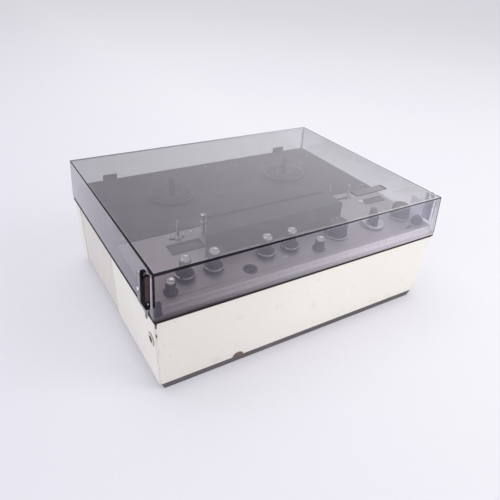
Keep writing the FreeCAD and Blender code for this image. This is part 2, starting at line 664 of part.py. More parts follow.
def strap_stud():
    """Mushroom stud for a carrying strap, its shank through the case's wall."""
    r, proud, shank = STRAP_STUD_RADIUS, STRAP_STUD_PROUD, STRAP_SHANK_RADIUS
    stud = turned([(0, -CASE_WALL), (shank, -CASE_WALL), (shank, 0), (r - 2.5, 0), (r - 2.5, proud - 3),
                   (r, proud - 2.5), (r, proud - 0.8), (r - 0.8, proud), (0, proud)])
    stud.rotate(Vector(), Vector(0, 1, 0), 90)
    stud.translate(Vector(0, STRAP_STUD_Y, STRAP_STUD_HEIGHT))
    return placed(stud, CASE_SIDE_FRAME)


def screw(length=SCREW_LENGTH):
    r, head_height = SCREW_RADIUS, SCREW_HEAD
    return turned([(0, -length), (r / 2, -length), (r / 2, 0), (r, 0), (r, head_height / 2),
                   (r - head_height / 2, head_height), (0, head_height)])


def catch_stud():
    """Small stud in the case's wall, just behind the latch's hasp plate."""
    stud = rod_along_x(CATCH_RADIUS, -CASE_WALL / 2, CATCH_PROUD, latch_middle() + 20.0, SIDE_HEIGHT - CATCH_DROP)
    return placed(stud, CASE_SIDE_FRAME)


SCREW_X = DECK_X - SCREW_MARGIN
PANEL_SCREWS = tuple((x, DECK_FRONT - SCREW_MARGIN / 2) for x in
                     (-SCREW_X, METER_X - SCREW_MARGIN, METER_X + METER_LENGTH / 2, 0.0, SCREW_X))
PANEL_RIVETS = tuple((MIXER_XS[3] - MIXER_RING_RADIUS - step, MIXER_Y - MIXER_RING_RADIUS - 2 * RIVET_RADIUS)
                     for step in (RIVET_RADIUS, 4.5 * RIVET_RADIUS))
DECK_SCREWS = tuple((x, y) for x in (-SCREW_X, 0.0, SCREW_X)
                    for y in (DECK_FRONT + SCREW_MARGIN, DECK_REAR - SCREW_MARGIN))


def screws():
    found = [on_panel(screw(), place) for place in PANEL_SCREWS]
    found += [on_panel(rod(RIVET_RADIUS, -PANEL_SHEET, SCREW_HEAD / 2), place) for place in PANEL_RIVETS]
    for x, y in DECK_SCREWS:
        head = screw(2 * DECK_SHEET)
        head.translate(Vector(x, y, Z_DECK))
        found.append(head)
    return found


def hinge_seat():
    """Room in the rim for one hinge: its leaf below the skirt and its knuckles in the band."""
    half = HINGE_WIDTH / 2 + 0.8
    low = box(HINGE_X - half, HINGE_X + half, HINGE_Y - HINGE_LEAF_DEPTH - 1, HINGE_Y + HINGE_LEAF_DEPTH,
              Z_RIM - 1, Z_RIM + HINGE_SHEET + 0.2)
    high = box(HINGE_X - half, HINGE_X + half, DECK_REAR + DECK_JOINT, HINGE_Y + HINGE_LEAF_DEPTH,
               Z_RIM - 1, Z_LID + 2 * RIM_LIP_HEIGHT)
    return low.fuse(high)


def chassis_rim():
    """Black moulding on the case's edge: outer band and lip for the lid, a collar flush with the lid at
    front and sides, flange for the chassis, skirt under deck and panel, and a buffer at the left front corner."""
    outer = (2 * RIM_X, 2 * RIM_Y)
    inner = (outer[0] - 2 * RIM_BAND, outer[1] - 2 * RIM_BAND)
    lip = (LID_LENGTH - 2 * LID_WALL - 2 * RIM_LIP_CLEARANCE, LID_DEPTH - 2 * LID_WALL - 2 * RIM_LIP_CLEARANCE)
    hole = (outer[0] - 2 * RIM_FLANGE_WIDTH, outer[1] - 2 * RIM_FLANGE_WIDTH)
    rim = band(outer, inner, Z_RIM, Z_LID)
    rim = rim.fuse(band(lip, inner, Z_LID, Z_LID + RIM_LIP_HEIGHT))
    rim = rim.fuse(band(outer, hole, Z_RIM, Z_CHASSIS))
    collar = band((LID_LENGTH, LID_DEPTH), (outer[0] - RIM_BAND, outer[1] - RIM_BAND), Z_RIM, Z_LID, LID_CORNER)
    rim = rim.fuse(collar.cut(box(-LID_LENGTH, LID_LENGTH, RIM_Y - 2 * RIM_BAND, LID_DEPTH, 0, Z_DECK)))
    x, y0, y1 = SKIRT_X, SKIRT_FRONT, DECK_REAR
    skirt = box(-x, x, y0, y1, Z_CHASSIS, Z_DECK - DECK_SHEET)
    skirt = skirt.cut(box(-x + SKIRT_WALL, x - SKIRT_WALL, y0 + SKIRT_WALL, y1 - SKIRT_WALL, 0, Z_DECK))
    slope = above_panel_plane(-PANEL_SHEET).common(box(-2 * x, 2 * x, 2 * y0, DECK_FRONT + DECK_JOINT, 0, 2 * Z_DECK))
    rim = rim.fuse(skirt.cut(slope))
    front_edge = Z_PANEL + (PANEL_FRONT - DECK_FRONT) * math.tan(math.radians(PANEL_TILT))
    cheek = box(-DECK_X - 1.0, CHEEK_WIDTH - DECK_X - 1.0, PANEL_FRONT - 0.5, PANEL_FRONT - 0.5 + CHEEK_DEPTH,
                Z_RIM, front_edge + CHEEK_RISE)
    upper = [edge for edge in cheek.Edges
             if edge.BoundBox.ZMin > front_edge + CHEEK_RISE - 0.1 and edge.BoundBox.XLength > 1]
    rim = rim.fuse(cheek.makeFillet(CHEEK_ROUND, upper))
    for side in both_sides(hinge_seat()):
        rim = rim.cut(side)
    return rim.removeSplitter()


def arm_slot(pivot, swing, radius, z0, z1):
    """Arc slot about a tension arm's pivot; swing gives its ends in degrees, positive to the right."""
    reach = ARM_PIN_RADIUS + ARM_SLOT_PLAY
    low, high = (math.radians(angle) for angle in swing)
    middle = (low + high) / 2

    def at(r, angle):
        return Vector(pivot[0] + r * math.sin(angle), pivot[1] - r * math.cos(angle), z0)

    inner, outer = radius - reach, radius + reach
    near = Part.Arc(at(inner, low), at(inner, middle), at(inner, high)).toShape()
    far = Part.Arc(at(outer, low), at(outer, middle), at(outer, high)).toShape()
    right = Part.LineSegment(at(inner, high), at(outer, high)).toShape()
    left = Part.LineSegment(at(outer, low), at(inner, low)).toShape()
    slot = Part.Face(Part.Wire([near, right, far, left])).extrude(Vector(0, 0, z1 - z0))
    for angle in (low, high):
        place = at(radius, angle)
        slot = slot.fuse(rod(reach, z0, z1, place.x, place.y))
    return slot


def chassis_plate():
    """Steel plate on the rim's flange that carries the mechanism, with pillars under the deck."""
    x = SKIRT_X - SKIRT_WALL - END_FLOAT
    plate = box(-x, x, CHASSIS_FRONT, DECK_REAR - SKIRT_WALL - END_FLOAT, Z_CHASSIS, Z_PLATE)
    meter_half = METER_LENGTH / 2 + METER_SHELL + 2
    plate = plate.cut(box(METER_X - meter_half, METER_X + meter_half, CHASSIS_FRONT - 1,
                          METER_Y + METER_DEPTH / 2 + 2 * METER_SHELL, 0, Z_DECK))
    plate = plate.cut(box(RESET_X - RESET_LENGTH, x + 1, CHASSIS_FRONT - 1,
                          COUNTER_Y + COUNTER_DEPTH + WHEEL_GAP, 0, Z_DECK))
    near, far = DECK_FRONT + SCREW_MARGIN, DECK_REAR - 2 * SCREW_MARGIN
    end = DECK_X - 3 * SCREW_MARGIN
    deck_pillars = [rod(PILLAR_RADIUS, Z_CHASSIS, Z_DECK - DECK_SHEET, px, py) for px, py in
                    ((-CAPSTAN_X, near), (CAPSTAN_X, near), (-end, REEL_Y), (end, REEL_Y), (0.0, far))]
    panel_pillars = [rod(PILLAR_RADIUS, Z_CHASSIS, Z_DECK, px, DECK_FRONT - 12.0)
                     for px in (-CAPSTAN_X / 2, CAPSTAN_X / 2, 2 * CAPSTAN_X)]
    over = above_panel_plane(-PANEL_SHEET)
    plate = joined([plate] + deck_pillars + [pillar.cut(over) for pillar in panel_pillars])
    holes = [rod(REEL_BEARING_RADIUS, 0, Z_DECK, reel, REEL_Y) for reel in REEL_XS]
    holes.append(rod(CAPSTAN_BEARING_RADIUS, 0, Z_DECK, CAPSTAN_X, CAPSTAN_Y))
    return plate.cut(Part.makeCompound(holes))


def deck_plate():
    """Dark flat plate over the rear of the mechanism."""
    plate = box(-DECK_X, DECK_X, DECK_FRONT + DECK_JOINT, DECK_REAR, Z_DECK - DECK_SHEET, Z_DECK)
    holes = [rod(REEL_BEARING_RADIUS + 1.0, 0, 2 * Z_DECK, reel, REEL_Y) for reel in REEL_XS]
    holes.append(rod(GUIDE_RIGHT_RADIUS, 0, 2 * Z_DECK, *GUIDE_RIGHT))
    holes += [rod(SCREW_RADIUS / 2, 0, 2 * Z_DECK, x, y) for x, y in DECK_SCREWS]
    return plate.cut(Part.makeCompound(holes))


def head_opening():
    """Room in the panel and the head cover's floor for heads and capstan bearing."""
    return (HEAD_XS[0] - HEAD_WIDTH, CAPSTAN_X + 2 * CAPSTAN_BEARING_RADIUS, HOOD_FRONT + 11.0, TAPE_SLOT_FRONT + 5.0)


def control_panel():
    """Bare metal sheet, sloping to the front and turned down there, with the cut-outs of its controls."""
    t, bend, lip = PANEL_SHEET, PANEL_BEND, PANEL_LIP
    front, rear = along(PANEL_FRONT), 0.0
    face = Part.makePolygon([Vector(0, rear, 0), Vector(0, front, 0), Vector(0, front, -lip),
                             Vector(0, front + t, -lip), Vector(0, front + t, -t), Vector(0, rear, -t),
                             Vector(0, rear, 0)])
    panel = Part.Face(face).extrude(Vector(2 * DECK_X, 0, 0))
    panel.translate(Vector(-DECK_X, 0, 0))
    outside = [e for e in panel.Edges if e.BoundBox.XLength > DECK_X and abs(e.BoundBox.YMin - front) < 0.01
               and e.BoundBox.ZMin > -0.01]
    inside = [e for e in panel.Edges if e.BoundBox.XLength > DECK_X and abs(e.BoundBox.YMin - front - t) < 0.01
              and e.BoundBox.ZMin > -t - 0.01]
    panel = panel.makeFillet(bend, outside)
    inside = [e for e in panel.Edges if e.BoundBox.XLength > DECK_X and abs(e.BoundBox.YMin - front - t) < 0.01
              and abs(e.BoundBox.ZMin + t) < 0.01]
    panel = panel.makeFillet(bend - t, inside)
    groove = along(PANEL_GROOVE_Y)
    cutters = [box(-2 * DECK_X, 2 * DECK_X, groove - PANEL_GROOVE_WIDTH / 2, groove + PANEL_GROOVE_WIDTH / 2,
                   -PANEL_GROOVE_DEPTH, t)]
    deep, high = -lip, lip

    def hole(radius, place):
        cutters.append(rod(radius, deep, high, place[0], along(place[1])))

    def window(x, y, length, depth):
        middle = along(y)
        cutters.append(box(x - length / 2, x + length / 2, middle - depth / 2, middle + depth / 2, deep, high))

    for x in MIXER_XS:
        hole(BUSHING_RADIUS, (x, MIXER_Y))
    for place in (BASS_PLACE, TREBLE_PLACE, SELECTOR_PLACE, LEVER_PLACE, VOLUME_PLACE):
        hole(BUSHING_RADIUS, place)
    hole(POWER_COLLAR_RADIUS - 1.0, POWER_PLACE)
    hole(SOCKET_BODY_RADIUS, MIC_PLACE)
    for place in PANEL_SCREWS:
        hole(SCREW_RADIUS / 2, place)
    for place in PANEL_RIVETS:
        hole(RIVET_RADIUS, place)
    window(METER_X, METER_Y, METER_LENGTH, METER_DEPTH)
    window(COUNTER_X, COUNTER_Y, COUNTER_LENGTH, COUNTER_DEPTH)
    window(RESET_X, RESET_Y, RESET_LENGTH + 4 * RESET_PLAY, RESET_DEPTH + 4 * RESET_PLAY)
    window(SLIDE_PLACE[0], SLIDE_PLACE[1], SLIDE_SLOT_LENGTH, SLIDE_SLOT_WIDTH)
    panel = placed(panel.cut(Part.makeCompound(cutters)), PANEL_FRAME)
    x0, x1, y0, y1 = head_opening()
    upright = [box(x0, x1, y0, y1, 0, 2 * Z_DECK),
               arm_slot(ARM_PIVOT_LEFT, ARM_SWING_LEFT, ARM_RADIUS, 0, 2 * Z_DECK),
               arm_slot(ARM_PIVOT_RIGHT, ARM_SWING_RIGHT, ARM_RADIUS, 0, 2 * Z_DECK),
               rod(GUIDE_LEFT_RADIUS, 0, 2 * Z_DECK, *GUIDE_LEFT),
               rod(2 * PINCH_POST_RADIUS, 0, 2 * Z_DECK, PINCH_PIVOT_X, PINCH_PIVOT_Y)]
    corner = box(-2 * DECK_X, CHEEK_WIDTH - DECK_X - 1.0 + DECK_JOINT, 2 * PANEL_FRONT,
                 PANEL_FRONT - 0.5 + CHEEK_DEPTH + DECK_JOINT, 0, 2 * Z_DECK)
    for cutter in upright + [corner]:
        panel = panel.cut(cutter)
    return panel


def turntable(x):
    """Platter with its winged spindle and shaft, and the clutch disc on the shaft's lower end."""
    top = Z_DISC + TURNTABLE_THICKNESS
    tip = top + SPINDLE_HEIGHT
    r, s = TURNTABLE_RADIUS, SPINDLE_RADIUS
    foot = Z_CHASSIS - CLUTCH_GAP - CLUTCH_THICKNESS - CHASSIS_SHEET
    platter = turned([(0, tip), (s - 1.6, tip), (s, tip - 2.2), (s, top + 1.0), (2 * s, top + 1.0), (2 * s, top),
                      (r - 5, top), (r - 5, top - 0.8), (r - 3.5, top - 0.8), (r - 3.5, top), (r - 0.6, top),
                      (r, top - 0.6), (r, Z_DISC + 0.8), (r - 0.8, Z_DISC), (REEL_SHAFT_RADIUS, Z_DISC),
                      (REEL_SHAFT_RADIUS, foot), (0, foot)], x, REEL_Y)
    wings = []
    for turn in range(3):
        wing = box(x, x + SPINDLE_WING, REEL_Y - SPINDLE_WING_WIDTH / 2, REEL_Y + SPINDLE_WING_WIDTH / 2,
                   top + 0.5, tip - 3.0)
        wings.append(turned_about(wing, 90 + 120 * turn, x, REEL_Y))
    clutch = rod(CLUTCH_RADIUS, foot, foot + CLUTCH_THICKNESS, x, REEL_Y)
    clutch = clutch.cut(rod(REEL_SHAFT_RADIUS, foot - 1, foot + CLUTCH_THICKNESS + 1, x, REEL_Y))
    return [joined([platter] + wings), clutch]


def bearing(x, y, radius, bore, z0, z1):
    """Flanged bearing tube standing in the chassis plate."""
    return turned([(bore, z0), (radius, z0), (radius, Z_PLATE), (radius + 5, Z_PLATE), (radius + 5, Z_PLATE + 3),
                   (radius, Z_PLATE + 3), (radius, z1), (bore, z1)], x, y)


def spindle_bearings():
    low = Z_CHASSIS - CHASSIS_SHEET
    reels = [bearing(x, REEL_Y, REEL_BEARING_RADIUS, REEL_SHAFT_RADIUS + RUNNING, low, Z_DISC - END_FLOAT)
             for x in REEL_XS]
    capstan = bearing(CAPSTAN_X, CAPSTAN_Y, CAPSTAN_BEARING_RADIUS, CAPSTAN_RADIUS + RUNNING,
                      Z_FLYWHEEL + FLYWHEEL_THICKNESS + END_FLOAT, Z_DECK - DECK_SHEET)
    return reels + [capstan]


def flywheel():
    """Capstan shaft with its heavy flywheel; the belt runs in a groove round the rim."""
    r, t, z = FLYWHEEL_RADIUS, FLYWHEEL_THICKNESS, Z_FLYWHEEL
    half = BELT_WIDTH / 2 + 0.5
    hub, rim = 4 * CAPSTAN_RADIUS, r - 8
    top = Z_HOOD - HOOD_WALL - 2.0
    return turned([(0, z - 4), (CAPSTAN_RADIUS, z - 4), (CAPSTAN_RADIUS, z), (hub, z), (hub, z + 4), (rim, z + 4),
                   (rim, z), (r, z), (r, Z_BELT - half), (r - BELT_GROOVE, Z_BELT - half),
                   (r - BELT_GROOVE, Z_BELT + half), (r, Z_BELT + half), (r, z + t), (rim, z + t), (rim, z + t - 4),
                   (hub, z + t - 4), (hub, z + t), (CAPSTAN_RADIUS, z + t), (CAPSTAN_RADIUS, top - 1),
                   (CAPSTAN_RADIUS - 1, top), (0, top)], CAPSTAN_X, CAPSTAN_Y)


def motor_pulley():
    r, half = PULLEY_RADIUS, BELT_WIDTH / 2 + 0.5
    low = Z_CHASSIS - MOTOR_DROP - 8
    s = MOTOR_SHAFT_RADIUS
    return turned([(0, low), (s, low), (s, Z_BELT - half - 2), (r + 1.5, Z_BELT - half - 2), (r + 1.5, Z_BELT - half),
                   (r, Z_BELT - half), (r, Z_BELT + half), (r + 1.5, Z_BELT + half), (r + 1.5, Z_BELT + half + 2),
                   (0, Z_BELT + half + 2)], MOTOR_X, MOTOR_Y)


def drive_motor():
    """Motor can hung from the chassis plate on three posts, clear of the belt."""
    top = Z_CHASSIS - MOTOR_DROP
    r = MOTOR_RADIUS
    can = turned([(0, top - MOTOR_HEIGHT), (r - 3, top - MOTOR_HEIGHT), (r, top - MOTOR_HEIGHT + 3), (r, top - 2),
                  (r + 6, top - 2), (r + 6, top), (0, top)], MOTOR_X, MOTOR_Y)
    away = math.degrees(math.atan2(MOTOR_Y - CAPSTAN_Y, MOTOR_X - CAPSTAN_X))
    posts = []
    for turn in (-90.0, 0.0, 90.0):
        angle = math.radians(away + turn)
        reach = r + 1.0
        posts.append(rod(MOTOR_POST_RADIUS, top - 1, Z_CHASSIS, MOTOR_X + reach * math.cos(angle),
                         MOTOR_Y + reach * math.sin(angle)))
    body = joined([can] + posts)
    return body.cut(rod(MOTOR_SHAFT_RADIUS + RUNNING, top - 8 - END_FLOAT, top + 1, MOTOR_X, MOTOR_Y))


def belt_outline(offset):
    """Loop round flywheel and pulley at a distance outside their running faces."""
    big, small = FLYWHEEL_RADIUS - BELT_GROOVE + offset, PULLEY_RADIUS + offset
    dx, dy = MOTOR_X - CAPSTAN_X, MOTOR_Y - CAPSTAN_Y
    spread = math.acos((big - small) / math.hypot(dx, dy))
    toward = math.atan2(dy, dx)
    z = Z_BELT - BELT_WIDTH / 2

    def on(centre, radius, angle):
        return Vector(centre[0] + radius * math.cos(angle), centre[1] + radius * math.sin(angle), z)

    wheel, pulley = (CAPSTAN_X, CAPSTAN_Y), (MOTOR_X, MOTOR_Y)
    a, b = on(wheel, big, toward + spread), on(wheel, big, toward - spread)
    c, d = on(pulley, small, toward - spread), on(pulley, small, toward + spread)
    edges = [Part.Arc(a, on(wheel, big, toward + math.pi), b).toShape(), Part.LineSegment(b, c).toShape(),
             Part.Arc(c, on(pulley, small, toward), d).toShape(), Part.LineSegment(d, a).toShape()]
    return Part.Face(Part.Wire(edges)).extrude(Vector(0, 0, BELT_WIDTH))


def drive_belt():
    return belt_outline(END_FLOAT + BELT_THICKNESS).cut(belt_outline(END_FLOAT))


def guide_posts():
    """Tape guides, and the pivot posts of the pinch arm and the tension arms, on the chassis plate."""
    flange = GUIDE_LEFT_RADIUS + 2.0
    low, high = Z_TAPE - 4.2, Z_TAPE + 3.4
    r, tip = GUIDE_LEFT_RADIUS, Z_DECK + GUIDE_LEFT_TOP
    left = turned([(0, Z_PLATE), (r, Z_PLATE), (r, low), (flange, low), (flange, low + 0.8), (r, low + 0.8), (r, high),
                   (flange, high), (flange, high + 0.8), (r, high + 0.8), (r, tip - 5), (flange - 0.8, tip - 5),
                   (flange - 0.6, tip - 1), (r, tip), (0, tip)], *GUIDE_LEFT)
    right = rod(GUIDE_RIGHT_RADIUS, Z_PLATE, Z_DECK + GUIDE_RIGHT_TOP, *GUIDE_RIGHT)
    r = PINCH_POST_RADIUS
    shoulder = Z_TAPE - PINCH_HEIGHT
    pinch = turned([(0, Z_PLATE), (2 * r, Z_PLATE), (2 * r, shoulder - 0.8), (r, shoulder - 0.8), (r, shoulder + 3.5),
                    (0, shoulder + 3.5)], PINCH_PIVOT_X, PINCH_PIVOT_Y)
    arms = [turned([(0, Z_PLATE), (2 * r, Z_PLATE), (2 * r, Z_PLATE + 5), (r, Z_PLATE + 5), (r, Z_PLATE + 14),
                    (0, Z_PLATE + 14)], *pivot) for pivot in (ARM_PIVOT_LEFT, ARM_PIVOT_RIGHT)]
    return [left, right, pinch] + arms


def link(a, b, radius_a, radius_b, z0, z1):
    """Flat lever between two round ends."""
    dx, dy = b[0] - a[0], b[1] - a[1]
    toward = math.atan2(dy, dx)
    half = min(radius_a, radius_b) * 0.8
    nx, ny = -math.sin(toward) * half, math.cos(toward) * half
    bar = prism([(a[0] + nx, a[1] + ny), (a[0] - nx, a[1] - ny), (b[0] - nx, b[1] - ny), (b[0] + nx, b[1] + ny)], z0, z1)
    return joined([bar, rod(radius_a, z0, z1, *a), rod(radius_b, z0, z1, *b)])


def pinch_arm():
    low = Z_TAPE - PINCH_HEIGHT - 0.5
    pivot, roller = (PINCH_PIVOT_X, PINCH_PIVOT_Y), (CAPSTAN_X, PINCH_Y)
    seat = Z_TAPE - PINCH_HEIGHT / 2 - END_FLOAT
    arm = link(pivot, roller, 5.0, 4.5, low, low + 2.5)
    arm = joined([arm, rod(3.0, low, seat, *roller),
                  rod(PINCH_PIN_RADIUS, low, Z_TAPE + PINCH_HEIGHT / 2 + 1.0, *roller)])
    return arm.cut(rod(PINCH_POST_RADIUS + RUNNING, 0, 2 * Z_DECK, *pivot))


def pinch_roller():
    low = Z_TAPE - PINCH_HEIGHT / 2
    roller = rod(PINCH_RADIUS, low, low + PINCH_HEIGHT, CAPSTAN_X, PINCH_Y)
    return roller.cut(rod(PINCH_PIN_RADIUS + RUNNING, 0, 2 * Z_DECK, CAPSTAN_X, PINCH_Y))


def tension_arm(pivot, rest, top):
    """Lever under the deck whose upright pin stands through an arc slot in the panel."""
    angle = math.radians(rest)
    pin = (pivot[0] + ARM_RADIUS * math.sin(angle), pivot[1] - ARM_RADIUS * math.cos(angle))
    low = Z_PLATE + 5 + END_FLOAT
    arm = link(pivot, pin, 5.0, 3.5, low, low + ARM_SHEET)
    collar = panel_point(pin, 0).z + 0.8
    arm = joined([arm, rod(5.0, low, low + 2 * ARM_SHEET, *pivot), rod(ARM_PIN_RADIUS, low, Z_DECK + top, *pin),
                  rod(ARM_COLLAR_RADIUS, collar, collar + 1.2, *pin)])
    return arm.cut(rod(PINCH_POST_RADIUS + RUNNING, 0, 2 * Z_DECK, *pivot))


def tape_heads():
    """Head block on the chassis plate with erase, record and playback heads facing the tape slot."""
    low = Z_TAPE - HEAD_HEIGHT / 2
    nose = TAPE_SLOT_FRONT + 0.2
    back = nose - HEAD_DEPTH
    block = box(HEAD_XS[0] - HEAD_WIDTH / 2 - 3, HEAD_XS[-1] + HEAD_WIDTH / 2 + 3, back - 1, nose - 3, Z_PLATE, low)
    heads = []
    for x in HEAD_XS:
        half = HEAD_WIDTH / 2
        corners = [Vector(x - half, nose - 4, low), Vector(x - half, back, low), Vector(x + half, back, low),
                   Vector(x + half, nose - 4, low)]
        edges = [Part.LineSegment(corners[i], corners[i + 1]).toShape() for i in range(3)]
        edges.append(Part.Arc(corners[3], Vector(x, nose, low), corners[0]).toShape())
        heads.append(Part.Face(Part.Wire(edges)).extrude(Vector(0, 0, HEAD_HEIGHT)))
    return [block] + heads


def head_cover():
    """Hood over the heads with a drop-in tape slot behind them and a bay for the pinch roller."""
    w = HOOD_WALL
    plan = [(HOOD_LEFT_FRONT_X, HOOD_FRONT), (HOOD_RIGHT_X, HOOD_FRONT), (HOOD_RIGHT_X, HOOD_REAR_RIGHT),
            (HOOD_LEFT_REAR_X, HOOD_REAR_LEFT)]
    hood = prism(plan, Z_LID, Z_HOOD)
    upper = [edge for edge in hood.Edges if edge.BoundBox.ZMin > Z_HOOD - 0.1]
    hood = hood.makeFillet(1.5, upper)
    hood = hood.cut(below_panel_plane(0))
    lean = (HOOD_LEFT_REAR_X - HOOD_LEFT_FRONT_X) / (HOOD_REAR_LEFT - HOOD_FRONT)
    side = w * math.hypot(1, lean)

    def left_wall(y):
        return HOOD_LEFT_FRONT_X + side + (y - HOOD_FRONT) * lean

    room = prism([(left_wall(HOOD_FRONT + w), HOOD_FRONT + w), (HOOD_RIGHT_X - w, HOOD_FRONT + w),
                  (HOOD_RIGHT_X - w, TAPE_SLOT_REAR), (left_wall(TAPE_SLOT_REAR), TAPE_SLOT_REAR)], Z_LID, Z_HOOD - w)
    hood = hood.cut(room.common(above_panel_plane(w)))
    slot = box(2 * HOOD_LEFT_FRONT_X, 2 * HOOD_RIGHT_X, TAPE_SLOT_FRONT, TAPE_SLOT_REAR, Z_TAPE - 7.5, 2 * Z_HOOD)
    bay_half = PINCH_RADIUS + 5.0
    bay = box(CAPSTAN_X - bay_half, CAPSTAN_X + bay_half + 3.0, TAPE_SLOT_FRONT, 0, Z_TAPE - PINCH_HEIGHT - 1.5,
              Z_TAPE + PINCH_HEIGHT / 2 + 2.0)
    x0, x1, y0, y1 = head_opening()
    return hood.cut(slot).cut(bay).cut(box(x0, x1, y0, y1, Z_LID, Z_DECK + 1)).removeSplitter()


def control_pot(place, radius, depth, bores):
    """Potentiometer or switch body under the panel with its bushing; bores are (radius, depth) from the top."""
    body = joined([rod(radius, BELOW_PANEL - depth, BELOW_PANEL), rod(BUSHING_RADIUS, BELOW_PANEL - 1, BUSHING_PROUD)])
    for bore, reach in bores:
        body = body.cut(rod(bore, BELOW_PANEL - reach, 2.0))
    return on_panel(body, place)


def control_pots():
    pots = []
    inner = POT_DEPTH - 3
    for x in MIXER_XS:
        bores = ((RING_SHAFT_RADIUS + RUNNING, POT_DEPTH / 2), (CAP_SHAFT_RADIUS + RUNNING, inner))
        pots.append(control_pot((x, MIXER_Y), POT_RADIUS, POT_DEPTH, bores))
    single = ((SHAFT_RADIUS + RUNNING, inner),)
    for place, radius in ((SELECTOR_PLACE, POT_RADIUS + 2), (LEVER_PLACE, POT_RADIUS + 2), (VOLUME_PLACE, POT_RADIUS)):
        pots.append(control_pot(place, radius, POT_DEPTH, single))
    shallow = ((SHAFT_RADIUS + RUNNING, EDGE_POT_DEPTH - 3),)
    for place in (BASS_PLACE, TREBLE_PLACE):
        pots.append(control_pot(place, TONE_POT_RADIUS, EDGE_POT_DEPTH, shallow))
    pots.append(power_switch())
    pots.append(slide_switch_body())
    return pots


def power_switch():
    """Switch body with the collar that guides the push button."""
    low = BELOW_PANEL - EDGE_POT_DEPTH
    collar = turned([(POWER_RADIUS + 2 * RUNNING, BELOW_PANEL), (POWER_COLLAR_RADIUS - 1, BELOW_PANEL),
                     (POWER_COLLAR_RADIUS - 1, 0), (POWER_COLLAR_RADIUS, 0),
                     (POWER_COLLAR_RADIUS - 0.8, POWER_COLLAR_HEIGHT),
                     (POWER_RADIUS + 2 * RUNNING, POWER_COLLAR_HEIGHT)])
    body = rod(POWER_BODY_RADIUS, low, BELOW_PANEL).cut(rod(POWER_RADIUS + 2 * RUNNING, low + 2, 0))
    return on_panel(joined([body, collar]), POWER_PLACE)


def slide_switch_body():
    """Channel under the panel in which the slide runs."""
    half, wide = SLIDE_SLOT_LENGTH / 2 + 0.6, SLIDE_SLOT_WIDTH / 2 + 2.4
    body = box(-half, half, -wide, wide, BELOW_PANEL - 8, BELOW_PANEL)
    channel = box(-half + 0.6, half - 0.6, -wide + 0.9, wide - 0.9, BELOW_PANEL - 4, BELOW_PANEL + 1)
    return on_panel(body.cut(channel), SLIDE_PLACE)


def slide_switch():
    """Slide with its tab standing through the slot."""
    wide = SLIDE_SLOT_WIDTH / 2 + 1.5 - SLIDE_PLAY
    half = SLIDE_TAB_LENGTH / 2
    base = box(-half, half, -wide, wide, BELOW_PANEL - 4 + END_FLOAT, BELOW_PANEL - END_FLOAT)
    thin = SLIDE_SLOT_WIDTH / 2 - SLIDE_PLAY
    tab = box(-half, half, -thin, thin, BELOW_PANEL - 1, SLIDE_TAB_PROUD)
    return on_panel(joined([base, tab]), SLIDE_PLACE)


def power_button():
    low = BELOW_PANEL - EDGE_POT_DEPTH + 2 + POWER_TRAVEL + END_FLOAT
    r, h = POWER_RADIUS, POWER_HEIGHT
    return on_panel(turned([(0, low), (r, low), (r, h - 1), (r - 1, h), (0, h - 0.6)]), POWER_PLACE)


def mixer_ring(x):
    """Lower disc of a double knob on its hollow shaft."""
    r, top, shaft = MIXER_RING_RADIUS, MIXER_RING_TOP, RING_SHAFT_RADIUS
    low = BUSHING_PROUD + END_FLOAT
    bore = CAP_SHAFT_RADIUS + RUNNING
    foot = BELOW_PANEL - POT_DEPTH / 2 + END_FLOAT
    return on_panel(turned([(bore, foot), (shaft, foot), (shaft, low), (r - 0.5, low), (r, low + 0.5),
                            (r, top - 1.2), (r - 1.0, top), (r - 2.2, top), (r - 2.6, top - 0.4),
                            (bore, top - 0.4)]), (x, MIXER_Y))


def mixer_cap(x):
    """Upper knob of a double knob, slightly tapered, on its solid shaft."""
    r, top, shaft = MIXER_CAP_RADIUS, MIXER_CAP_TOP, CAP_SHAFT_RADIUS
    low = MIXER_RING_TOP + END_FLOAT
    foot = BELOW_PANEL - POT_DEPTH + 3 + END_FLOAT
    return on_panel(turned([(0, foot), (shaft, foot), (shaft, low), (r, low), (r, low + 1.5), (r - 0.5, top - 1.2),
                            (r - 1.0, top - 0.4), (r - 1.4, top), (0, top)]), (x, MIXER_Y))


def shaft_foot(depth=POT_DEPTH):
    return BELOW_PANEL - depth + 3 + END_FLOAT


def tone_knob(place):
    """Small knob with a flared skirt."""
    r, skirt, top = TONE_BODY_RADIUS, TONE_SKIRT_RADIUS, TONE_HEIGHT
    low, s, foot = BUSHING_PROUD + END_FLOAT, SHAFT_RADIUS, shaft_foot(EDGE_POT_DEPTH)
    return on_panel(turned([(0, foot), (s, foot), (s, low), (skirt, low), (skirt, low + 1.0),
                            (r + 1.0, low + 3.0), (r + 0.2, low + 5.5), (r, low + 8.0), (r - 0.3, top - 1.0),
                            (r - 1.0, top), (0, top)]), place)


def round_knob(place, ring, body, height, flutes):
    """Large knob: chromed ring below, fluted body above."""
    low, s = BUSHING_PROUD + END_FLOAT, SHAFT_RADIUS
    knob = turned([(0, shaft_foot()), (s, shaft_foot()), (s, low), (ring - 0.6, low), (ring, low + 0.6),
                   (ring, low + 1.6), (ring - 0.8, low + 2.4), (body, low + 2.4), (body - 0.4, height - 1.2),
                   (body - 1.6, height), (0, height)])
    cuts = []
    for turn in range(flutes):
        angle = 2 * math.pi * turn / flutes
        reach = body + 0.5
        cuts.append(rod(1.2, low + 3.4, height + 1, reach * math.cos(angle), reach * math.sin(angle)))
    return on_panel(knob.cut(Part.makeCompound(cuts)), place)


